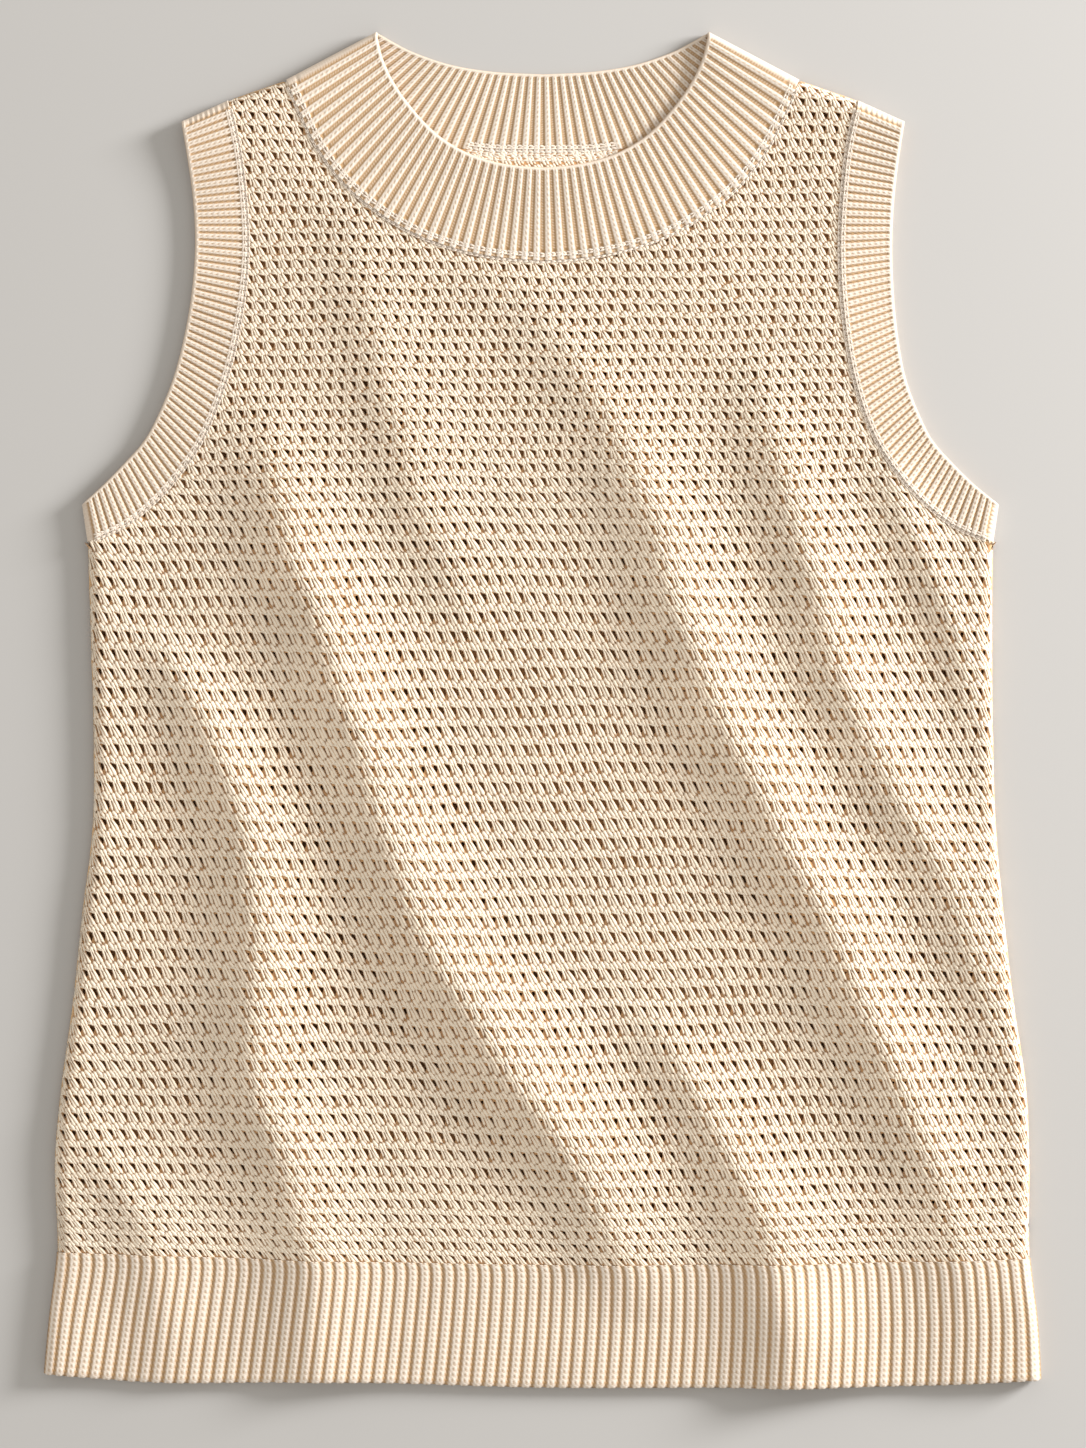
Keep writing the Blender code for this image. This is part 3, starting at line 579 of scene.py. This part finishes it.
# The ground under the stitches is a darker copy of the same yarn: painted shade, so that the gaps
# and holes between the stitches look shaded.
painted_shade_ground_yarn = cotton_yarn("openwork_cotton_painted_shade_yarn", "#E2C095", "#A06A38", 0.9)

front_outline = body_outline(front_neck)
front_ground = knit_piece(
    "front_body_ground", *eyelet_ground(front_outline, "front", drop, drop_faces,
                                        (0.1, 1.3, 1.0, 1.5), 0, 11),
    painted_shade_ground_yarn, "openwork_knit")
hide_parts("front_body")

# Three strands run down to the right from between two eyelets, each of two legs: a steep one
# beside the eyelets, and a slanting one between the rows. They are squeezed together beside the
# eyelets and spread halfway between the rows. In the wide rows all three go one column along. In
# the close rows over the chest the first stays behind the next eyelet. A strand is wider than its
# share of the bundle, so that it touches its neighbours.
STRANDS = 3
EYELET = 3.2
STRAND_OVERLAP = 1.45
CLOSE_ROWS = (96, 118)

# In rows down from an eyelet: the axis of each leg, and how far each strand is out of step.
upper_leg = (-0.28, -0.16, 0.32, 0.48)
lower_leg = (0.38, 0.52, 0.78, 0.93)
strand_stagger = np.array([-0.09, 0.08, -0.01])

# In columns from an eyelet: where each strand starts and ends, and how far it spreads.
start = np.array([0.31, 0.5, 0.69])
wide_end, close_end = start + 1, np.array([0.69, 1.31, 1.5])
wide_spread, close_spread = np.array([-0.14, 0, 0.14]), np.array([0, -0.05, 0.08])


def lattice(parts):
    """Row, column and further part of every stitch of the pattern, as flat arrays."""
    grid = np.meshgrid(np.arange(-1, ROWS - 1), pattern_columns,
                       *[np.arange(part) for part in parts], indexing="ij")
    return [values.ravel() for values in grid]


def kept_legs(outline, column, row, row_of):
    """Axes of the legs whose middles are inside the outline, brought in, and their rows."""
    x, y = stitch_place(column, row)
    kept = inside(x[:, 1:3].mean(1), y[:, 1:3].mean(1), outline)
    x, y = x[kept], y[kept]
    flat_x, flat_y = brought_in(x.ravel(), y.ravel(), outline)
    return flat_x.reshape(x.shape), flat_y.reshape(y.shape), kept, row_of[kept]


def on_front(x, y, up):
    """Points on the front layer."""
    return body_cloth(x, y, up, "front")


def strand_legs(outline, openness, seed):
    """Axes, half widths, heights and rows of all the strands' legs on one panel.

    openness is 1 where the eyelets are open, and less where the strands lie closer.
    """
    random = np.random.default_rng(seed)
    row, column, strand, course = lattice((STRANDS, 2))
    steps = np.where(course[:, None] == 0, np.array(upper_leg), np.array(lower_leg))
    steps = steps + strand_stagger[strand][:, None] + random.uniform(-0.05, 0.05, (len(row), 1))
    close = np.clip((row_heights[row + 1] - CLOSE_ROWS[0]) / (CLOSE_ROWS[1] - CLOSE_ROWS[0]), 0, 1)
    end = wide_end[strand] + (close_end - wide_end)[strand] * close
    spread = wide_spread[strand] + (close_spread - wide_spread)[strand] * close
    squeezed = np.interp(steps, (-0.16, 0, 0.14, 0.24, 0.36, 0.55, 0.7, 0.78, 0.86, 1.12),
                         (1.0, 1.0, 0.95, 0.7, 0.05, 0.05, 0.1, 0.6, 1.0, 0.95))
    uneven = random.uniform(0.85, 1.15, (ROWS, len(pattern_columns)))
    squeezed *= openness * uneven[row + 1, column - pattern_columns[0]][:, None]
    squeezed *= 1 - 0.45 * turned(*stitch_place(column + 1.0, row + 0.5))[:, None]
    swing = steps - (0.05 + 0.035 * close[:, None]) * np.sin(2 * np.pi * steps)
    place = start[strand][:, None] + (end - start[strand])[:, None] * swing
    place = place + spread[:, None] * (1 - squeezed) + random.uniform(-0.02, 0.02, (len(row), 1))
    x, y, kept, row_of = kept_legs(outline, column[:, None] + place, row[:, None] + 1 - steps, row)
    bundle = BODY_PITCH - EYELET * squeezed
    width = (bundle / STRANDS / 2)[kept][:, 1:3] * STRAND_OVERLAP
    ridge = random.uniform(1.95, 2.25, (len(row), 2))[kept]
    foot = np.full((len(x), 1), 1.05)
    return x, y, width, np.concatenate([foot, ridge, foot + 0.6], axis=1), row_of


def bridge_legs(outline, seed):
    """The short leg of yarn that crosses the top of each eyelet, down to the right."""
    random = np.random.default_rng(seed)
    row, column = lattice(())
    jitter = random.uniform(-0.02, 0.02, (2, len(row), 1))
    x, y, kept, row_of = kept_legs(
        outline, column[:, None] + np.array([-0.42, -0.30, 0.20, 0.36]) + jitter[1],
        row[:, None] + np.array([0.33, 0.29, 0.19, 0.12]) + jitter[0], row)
    width = np.full((len(x), 2), 0.75)
    heights = np.tile([1.0, 2.05, 2.0, 1.3], (len(x), 1))
    return x, y, width, heights, row_of


def add_stitches(name, legs, bands, place):
    """Pieces of the legs, one for each band of rows."""
    joined = [np.concatenate(part) for part in zip(*legs)]
    pieces = []
    for part, first, last in bands:
        chosen = (joined[4] >= first) & (joined[4] < last)
        points, faces, painted_light = stitch_legs(*[values[chosen] for values in joined[:4]], place)
        pieces.append(
            knit_piece(name + part, points, faces, painted_light, openwork_yarn, "openwork_knit"))
    return pieces


front_pieces = add_stitches(
    "front_body_stitches_", [strand_legs(front_outline, 1.0, 5), bridge_legs(front_outline, 6)],
    (("lower", -9, 22), ("middle", 22, 46), ("upper", 46, 99)), on_front)


# The back of the body: a second panel in the same knit, cut higher at the neck. It lies flat on
# the floor under the front one, so only a strip of its inside shows, in the neck opening.
back_outline = body_outline(back_neck)
back_ground = knit_piece(
    "back_body_ground", *eyelet_ground(back_outline, "back", diamond, diamond_faces,
                                       (0.1, 2.2, 1.8, 2.4), 0.45, 12),
    painted_shade_ground_yarn, "openwork_knit")
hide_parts("back_body")


def on_back_inside(x, y, up):
    """Points low over the inside of the back layer."""
    return np.stack([x, y, 1.55 + 0.45 * up], axis=-1) * MM


neck_strip = np.array([(-52.0, 258.0), (52.0, 258.0), (40.0, 275.0), (0.0, 272.4), (-40.0, 275.0)])
back_pieces = add_stitches("back_body_stitches_", [strand_legs(neck_strip, 0.1, 7)],
                           (("neck", -9, 999),), on_back_inside)


# The hem: a ribbed band, a front and a back half, knitted on from the body's last row of
# eyelets and cast off at its lower edge. The front half lies in the feet of the folds.
BAND_WALL = 2.2
RIB_RISE = 0.8
COURSE = 2.74
ROWS_A_COURSE = 4
HEM_RIBS = 81
HEM_WIDTH = 478
HEM_DEPTH = 60.0
BIND_OFF = 1.7
SEAM_GAP = 0.1

# Across one rib, from the middle of a groove: place, mean rise, how far the rise swings, how
# often in a course, and at what point of it. Two legs of the knit wale stand on either side of
# its middle, and the groove shows the small bars of the purl stitches.
rib_columns = np.array([
    (0.00, 0.20, 0.17, 2, 0.0), (0.17, -0.12, 0.08, 1, 0.5), (0.32, 0.90, 0.10, 1, 0.1),
    (0.50, 0.42, 0.22, 1, 0.5), (0.68, 0.90, 0.10, 1, 0.1), (0.83, -0.12, 0.08, 1, 0.5)])

# On the hem and the armbands the wales nearly touch, over a groove of deep stitch gaps, which
# are painted with shade.
close_columns = np.array([
    (0.00, -0.30, 0.40, 1, 0.0), (0.13, 0.15, 0.20, 1, 0.5), (0.29, 0.82, 0.16, 1, 0.1),
    (0.50, 0.42, 0.30, 1, 0.5), (0.71, 0.82, 0.16, 1, 0.1), (0.87, 0.15, 0.20, 1, 0.5)])


def rib_places(columns, ribs):
    """Places of the columns across so many ribs, in ribs, and which column of a rib each is."""
    which = np.concatenate([np.tile(np.arange(len(columns)), ribs), [0]])
    number = np.concatenate([np.repeat(np.arange(ribs), len(columns)), [ribs]])
    return number + columns[which, 0], which


def rib_rise(columns, which, courses, edge_gap):
    """How far the ribs stand up, from 0 to 1, by column and by courses down the rib.

    Each column is a cosine about its mean. At the free edge the ribs end in a round cord.
    """
    _, mean, swing, beats, phase = columns[which].T
    ribs = mean + swing * np.cos(2 * np.pi * (beats * courses + phase))
    cord = np.sqrt(np.clip(1 - ((edge_gap - 0.85) / 0.9) ** 2, 0, 1))
    share = np.clip((edge_gap - BIND_OFF) / 0.5 + 0.5, 0, 1)
    return ribs * share + (0.1 + 0.6 * cord) * (1 - share)


def grid_faces(numbers):
    """Triangles between the points of a grid of point numbers."""
    a, b, c, d = numbers[:-1, :-1], numbers[:-1, 1:], numbers[1:, 1:], numbers[1:, :-1]
    return np.concatenate([np.stack([a, b, c], -1).reshape(-1, 3),
                           np.stack([a, c, d], -1).reshape(-1, 3)])


def zip_faces(first, first_at, second, second_at):
    """Triangles between two rows of points, taking a step in whichever row is behind."""
    places = np.concatenate([first_at[1:], second_at[1:]])
    order = np.argsort(places, kind="stable")
    in_first = order < len(first) - 1
    i = np.cumsum(in_first) - in_first
    j = np.cumsum(~in_first) - ~in_first
    third = np.where(in_first, first[np.minimum(i + 1, len(first) - 1)],
                     second[np.minimum(j + 1, len(second) - 1)])
    return np.stack([first[i], third, second[j]], axis=-1)


def hem_grid(across, down, inset):
    """x, y and share of height left, at fractions across the hem and down it."""
    middle = hem[3, SEAM] + (hem[3, EDGE] - hem[3, SEAM]) * down
    left, right = side_x(middle, RIGHT), side_x(middle, LEFT)
    distance = inset + (right - left - 2 * inset) * across
    x = left + distance
    top = hem_y(x, SEAM) - SEAM_GAP
    y = top + (hem_y(x, EDGE) - top) * down
    near = np.minimum(distance, right - left - distance) - inset
    part = 1 - np.clip(near / (TURN - inset), 0, 1)
    return x, y, np.sqrt(1 - part**2)


def closed_strip(outer, outer_at, inner, inner_at, faces_up):
    """One shell from the grids of its two faces, zipped along their four edges."""
    points = np.concatenate([outer.reshape(-1, 3), inner.reshape(-1, 3)])
    a = np.arange(outer[..., 0].size).reshape(outer.shape[:2])
    b = a.size + np.arange(inner[..., 0].size).reshape(inner.shape[:2])
    down_a = np.linspace(0, 1, len(a))
    down_b = np.linspace(0, 1, len(b))
    faces = [grid_faces(a)[:, ::-1], grid_faces(b),
             zip_faces(a[0], outer_at, b[0], inner_at),
             zip_faces(a[-1], outer_at, b[-1], inner_at)[:, ::-1],
             zip_faces(a[:, 0], down_a, b[:, 0], down_b)[:, ::-1],
             zip_faces(a[:, -1], down_a, b[:, -1], down_b)]
    faces = np.concatenate(faces)
    return points, faces if faces_up else faces[:, ::-1]


# The rib yarn's own ecru on the crowns, and the brown of the painted shade in the grooves.
rib_yarn = cotton_yarn("ribbed_cotton_yarn", "#EEE6DC", "#B3916A", 0.85)

# The ribs lean a little as they go down, and run on to the free edge without a cord. There they
# scallop the edge, and the wall thins over its last 2.1 mm.
PAST_CORD = 2.0
places, which = rib_places(close_columns, HEM_RIBS)
hem_rows = int(HEM_DEPTH / COURSE * ROWS_A_COURSE)
down = np.linspace(0, 1, hem_rows + 1)[:, None]
edge_gap = (1 - down) * HEM_DEPTH
ends = np.minimum(places, HEM_RIBS - places)[None, :]
bend = -1.5 * np.exp(-down * HEM_DEPTH / 2.5) + 1.2 - 3.4 * down**1.3
across = places[None, :] / HEM_RIBS + bend / HEM_WIDTH * np.clip(ends / 3, 0, 1)
x, y, share = hem_grid(across, down, 0.0)
rise = rib_rise(close_columns, which[None, :].repeat(len(down), 0).ravel(),
                (down * HEM_DEPTH / COURSE + 0 * x).ravel(),
                (edge_gap + 0 * x).ravel() + PAST_CORD).reshape(x.shape)
scallop = 0.3 * np.cos(2 * np.pi * places)[None, :] * np.clip(1 - edge_gap / 3, 0, 1)
wall = BAND_WALL + RIB_RISE * rise - np.clip(1 - edge_gap / 2.1, 0, 1) ** 2
z = LIP + (front_inside(x, y) + wall * slope_factor(x, y) - LIP) * share
outer = np.stack([x, y + scallop, z], axis=-1) * MM
plain = np.concatenate([[0, 0.001, 0.004], np.linspace(0.012, 0.988, 49), [0.996, 0.999, 1]])
plain_down = np.linspace(0, 1, 13)[:, None]
x, y, share = hem_grid(plain[None, :], plain_down, BAND_WALL)
inner = np.stack([x, y, LIP + (front_inside(x, y) - LIP) * share], axis=-1) * MM
points, faces = closed_strip(outer, places / HEM_RIBS, inner, plain, True)
# Painted light by how far the ribs stand up, so painted shade in the grooves, and painted shade on
# the hidden inside.
painted_light = np.concatenate([np.clip(rise, 0, 1).ravel(), np.full(inner[..., 0].size, 0.3)])
front_hem = knit_piece("front_hem_ribs", points, faces, painted_light, rib_yarn, "rib_knit")
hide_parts("front_hem_rib")

# The back half's ribs are plain ridges, with their crowns on the floor.
BACK_ROWS = 23
coarse = np.arange(2 * HEM_RIBS + 1) / 2
groove = (np.arange(2 * HEM_RIBS + 1) % 2 == 0) * 0.5
x, y, share = hem_grid(coarse[None, :] / HEM_RIBS, np.linspace(0, 1, BACK_ROWS)[:, None], 0.0)
outer = np.stack([x, y, BACK_LIP + (groove[None, :] - BACK_LIP) * share], axis=-1) * MM
x, y, share = hem_grid(plain[None, :], plain_down, BAND_WALL)
inner = np.stack([x, y, BACK_LIP + (BODY_WALL - BACK_LIP) * share], axis=-1) * MM
points, faces = closed_strip(outer, coarse / HEM_RIBS, inner, plain, False)
# Painted shade in the back half's grooves, and a mid tone on its hidden inside.
painted_light = np.concatenate([np.tile(1 - groove * 1.4, BACK_ROWS),
                        np.full(inner[..., 0].size, 0.5)])
back_hem = knit_piece("back_hem_ribs", points, faces, painted_light, rib_yarn, "rib_knit")
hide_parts("back_hem_rib")


# The neckband and the two armhole bands: each a ring of the same rib, linked to the body by a
# chain of stitches, cast off at its free edge, and folded flat at the shoulders or underarm.
BEND = 4.4
OUTER_BEND, INNER_BEND = 8, 4
PLAIN_ROWS, PLAIN_COLUMNS = 5, 24
BACK_NECK_SHOWN = (0.36, 0.64)


def band_flat(seam, edge, at, down):
    """x and y of a flat band, at fractions along it, and down from its free edge to its seam."""
    outer = along(seam, at)[None]
    inner = along(edge, at)[None]
    width = np.linalg.norm(outer - inner, axis=-1, keepdims=True)
    return inner + (outer - inner) * np.minimum(down[:, None, None], 1 - SEAM_GAP / width)


def ring_face(front, back, front_at, back_at, bend_count, rows, wall_front, wall_back, reach):
    """One face of a folded band, as a closed grid: front half, bend, back half, bend.

    A bend swings from the front's height to the back's on a half ellipse that reaches out to
    the band's tip. wall_front and wall_back give the height over the layer's inside or floor.
    """
    flat = band_flat(*front, front_at, rows)
    below = band_flat(*back, back_at, rows)
    tips = band_flat(*front, np.array([0.0, 1.0]), rows)
    top = front_inside(flat[..., 0], flat[..., 1])
    top = top + wall_front * slope_factor(flat[..., 0], flat[..., 1])
    floor = np.broadcast_to(wall_back, below.shape[:2])
    turns = np.linspace(np.pi / 2, -np.pi / 2, bend_count + 2)[1:-1]
    parts = [np.concatenate([flat, top[..., None]], -1)]
    for tip, high_at, low_at, angles in ((tips[:, 1], -1, 0, turns),
                                         (tips[:, 0], 0, -1, turns[::-1])):
        upper, lower = flat[:, high_at], below[:, low_at]
        lean = (np.sin(angles)[None, :, None] + 1) / 2
        root = lower[:, None] + (upper - lower)[:, None] * lean
        out = root + (tip[:, None] - root) * (reach * np.cos(angles))[None, :, None]
        high, low = top[:, high_at][:, None], floor[:, low_at][:, None]
        z = (high + low) / 2 + (high - low) / 2 * np.sin(angles)
        parts.append(np.concatenate([out, z[..., None]], -1))
    parts.insert(2, np.concatenate([below, floor[..., None]], -1))
    return np.concatenate(parts, axis=1)


def on_band(x, y, up):
    """Points over a band's front half."""
    return np.stack([x, y, front_inside(x, y) + up * slope_factor(x, y)], axis=-1) * MM


def band(name, node_name, front, back, ribs, back_ribs, columns, depth_mm, show_back, link):
    """A ribbed band, as one closed ring with its linking chains.

    Its ribs show on the front half's outside, and in the neck on the back half's inside too. Its
    underside has plain ribs, with their crowns on the floor. columns is its rib. link is how far
    from the seam its chain lies, its spread, and its legs' half width.
    """
    front_end = BEND / lengths(front[0])[-1]
    back_end = BEND / lengths(back[0])[-1]
    rows = np.linspace(0, 1, int(depth_mm / COURSE * ROWS_A_COURSE) + 1)
    courses = rows * depth_mm / COURSE
    edge_gap = rows * depth_mm

    def rises(which):
        """The ribs' rise on a grid of rows and columns."""
        shape = (len(rows), len(which))
        return rib_rise(columns, np.broadcast_to(which, shape).ravel(),
                        np.broadcast_to(courses[:, None], shape).ravel(),
                        np.broadcast_to(edge_gap[:, None], shape).ravel()).reshape(shape)

    places, which = rib_places(columns, ribs)
    front_at = front_end + (1 - 2 * front_end) * places / ribs
    rise = rises(which)
    # Each groove ends in a pit, 1.5 mm past the chain, sunk and painted with the darkest shade.
    pits = np.abs(depth_mm - edge_gap - link[0] - link[1] - 1.5)[:, None] < 0.5
    rise = np.where(pits & (which == 0), -0.2 if show_back else -0.7, rise)
    under = np.arange(2 * back_ribs + 1)
    back_at = (1 - back_end) - (1 - 2 * back_end) * under / (2 * back_ribs)
    groove = (under % 2 == 0) * 0.45
    thinner = 0.5 * np.clip(1 - edge_gap, 0, 1)[:, None]
    outer = ring_face(front, back, front_at, back_at, OUTER_BEND, rows,
                      BAND_WALL + RIB_RISE * rise - thinner, groove[None, :], 1.0)
    # Painted light round the outer face: by the ribs' rise on the front half, a mid tone on the
    # bends, and painted shade in the underside's grooves.
    bend_painted_light = np.full((len(rows), OUTER_BEND), 0.6)
    under_painted_light = np.broadcast_to(1 - groove, (len(rows), len(under)))
    outer_painted_light = np.concatenate([rise, bend_painted_light, under_painted_light, bend_painted_light], axis=1)

    # The inner face's painted light: in the neck the back half's ribs take it from their rise, and
    # the hidden faces elsewhere are painted with shade.
    if show_back:
        places, which = rib_places(columns, back_ribs)
        inner_back_at = (1 - back_end) - (1 - 2 * back_end) * places / back_ribs
        rise = rises(which)
        inner_rows, wall_back, back_painted_light = rows, BAND_WALL - 0.4 + RIB_RISE * rise, rise
    else:
        inner_rows = np.linspace(0, 1, PLAIN_ROWS)
        inner_back_at = np.linspace(1 - back_end, back_end, PLAIN_COLUMNS)
        wall_back = np.full((PLAIN_ROWS, PLAIN_COLUMNS), BAND_WALL)
        back_painted_light = np.full((PLAIN_ROWS, PLAIN_COLUMNS), 0.4)
    inner_front_at = np.linspace(front_end, 1 - front_end, PLAIN_COLUMNS)
    inner = ring_face(front, back, inner_front_at, inner_back_at, INNER_BEND, inner_rows,
                      np.zeros((1, PLAIN_COLUMNS)), wall_back, (BEND - BAND_WALL) / BEND)
    hidden = np.full((len(inner_rows), PLAIN_COLUMNS), 0.3)
    hidden_bend = hidden[:, :INNER_BEND]
    inner_painted_light = np.concatenate([hidden, hidden_bend, back_painted_light, hidden_bend], axis=1)

    def places_round(front_count, bend_count, back_count):
        """Places round the ring of one face's columns, closed at the end."""
        turn = np.arange(1, bend_count + 1) / (bend_count + 1)
        return np.concatenate([np.linspace(0, 1, front_count), 1 + turn,
                               np.linspace(2, 3, back_count), 3 + turn, [4.0]])

    a = np.arange(outer[..., 0].size).reshape(outer.shape[:2])
    b = a.size + np.arange(inner[..., 0].size).reshape(inner.shape[:2])
    a, b = np.column_stack([a, a[:, 0]]), np.column_stack([b, b[:, 0]])
    a_at = places_round(len(front_at), OUTER_BEND, len(under))
    b_at = places_round(PLAIN_COLUMNS, INNER_BEND, len(inner_back_at))
    faces = np.concatenate([grid_faces(a), grid_faces(b)[:, ::-1],
                            zip_faces(a[0], a_at, b[0], b_at)[:, ::-1],
                            zip_faces(a[-1], a_at, b[-1], b_at)])
    points = np.concatenate([outer.reshape(-1, 3), inner.reshape(-1, 3)]) * MM
    painted_light = np.clip(np.concatenate([outer_painted_light.ravel(), inner_painted_light.ravel()]), 0, 1)
    step, across = front[0][1] - front[0][0], front[0][0] - front[1][0]
    if step[0] * across[1] < step[1] * across[0]:
        faces = faces[:, ::-1]
    # Each chain's offset, spread, half width and heights. A low one lies over the seam itself.
    front_chains = ((*link, (2.0, 2.95, 2.9, 2.5)), (-0.5, 0.45, 0.75, (1.2, 2.6, 2.5, 2.0)))
    back_chains = ((*link, (1.0, 2.2, 2.15, 2.0)), (0.2, 0.9, 1.3, (0.4, 2.2, 2.1, 1.5)),
                   (-2.7, 1.0, 1.3, (0.2, 2.45, 2.4, 1.6)))
    chains = [stitch_legs(*chain_legs(*front, front_end, 1 - front_end, *chain), on_band)
              for chain in front_chains]
    if show_back:
        chains += [stitch_legs(*chain_legs(*back, *BACK_NECK_SHOWN, *chain), on_back_inside)
                   for chain in back_chains]
    # The chains take 0.65 of their legs' painted light, so they are painted browner than a leg
    # alone.
    for more_points, more_faces, more_painted_light in chains:
        faces = np.concatenate([faces, more_faces + len(points)])
        points = np.concatenate([points, more_points])
        painted_light = np.concatenate([painted_light, 0.65 * more_painted_light])
    piece = knit_piece(name, points, faces, painted_light, rib_yarn, "rib_knit")
    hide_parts(node_name)


neck_front = [neck_path(front_neck, 0), neck_path(front_neck, 2)]
neck_back = [neck_path(back_neck, 0), neck_path(back_neck, 2)]
band("neckband_ribs", "neckband", neck_front, neck_back, 54, 44, rib_columns, 46.0, True,
     (2.9, 0.8, 0.9))
for side, name, node_name in ((1, "left_armband_ribs", "armband_left"),
                              (-1, "right_armband_ribs", "armband_right")):
    lines = [armhole_path(side, 0), armhole_path(side, 2)]
    band(name, node_name, lines, lines, 58, 58, close_columns, 25.0, False,
         (1.4, 0.75, 0.9))


# The photograph's floor: pale warm grey card, matt and plain.
floor_mesh = bpy.data.meshes.new("floor")
floor_mesh.from_pydata([(-4, -4, 0), (4, -4, 0), (4, 4, 0), (-4, 4, 0)], [], [(0, 1, 2, 3)])
floor = bpy.data.objects.new("floor", floor_mesh)
bpy.context.collection.objects.link(floor)
card = bpy.data.materials.new("matt_grey_card")
card.use_nodes = True
card.node_tree.nodes["Principled BSDF"].inputs["Base Color"].default_value = srgb("#B2B0AE")
card.node_tree.nodes["Principled BSDF"].inputs["Roughness"].default_value = 0.95
floor_mesh.materials.append(card)

# The studio: one large soft lamp high on the right, above the shoulders, and a pale fill.
lamp = bpy.data.lights.new("soft_box", "AREA")
lamp.shape = "DISK"
lamp.size = 0.9
lamp.energy = 164
lamp_object = bpy.data.objects.new("soft_box", lamp)
bpy.context.collection.objects.link(lamp_object)
lamp_object.location = (2.5, 1.0, 0.85)
lamp_object.rotation_mode = "QUATERNION"
lamp_object.rotation_quaternion = lamp_object.location.to_track_quat("Z", "Y")

world = bpy.data.worlds.new("pale_studio")
world.use_nodes = True
world.node_tree.nodes["Background"].inputs["Color"].default_value = srgb("#F5F1EA")
world.node_tree.nodes["Background"].inputs["Strength"].default_value = 0.86
bpy.context.scene.world = world
bpy.context.scene.view_settings.view_transform = "Standard"

# The camera looks straight down from 2.2 m, and its lens takes in 709.5 mm from top to bottom.
CAMERA_HEIGHT = 2.2
CLOTH_HEIGHT = 0.006
FRAME_HEIGHT = 0.7095
SENSOR_MM = 36
camera = bpy.data.cameras.new("camera")
camera.lens = SENSOR_MM * (CAMERA_HEIGHT - CLOTH_HEIGHT) / FRAME_HEIGHT
camera.clip_end = 20
camera_object = bpy.data.objects.new("camera", camera)
bpy.context.collection.objects.link(camera_object)
camera_object.location = (0.0002, -0.0069, CAMERA_HEIGHT)
bpy.context.scene.camera = camera_object
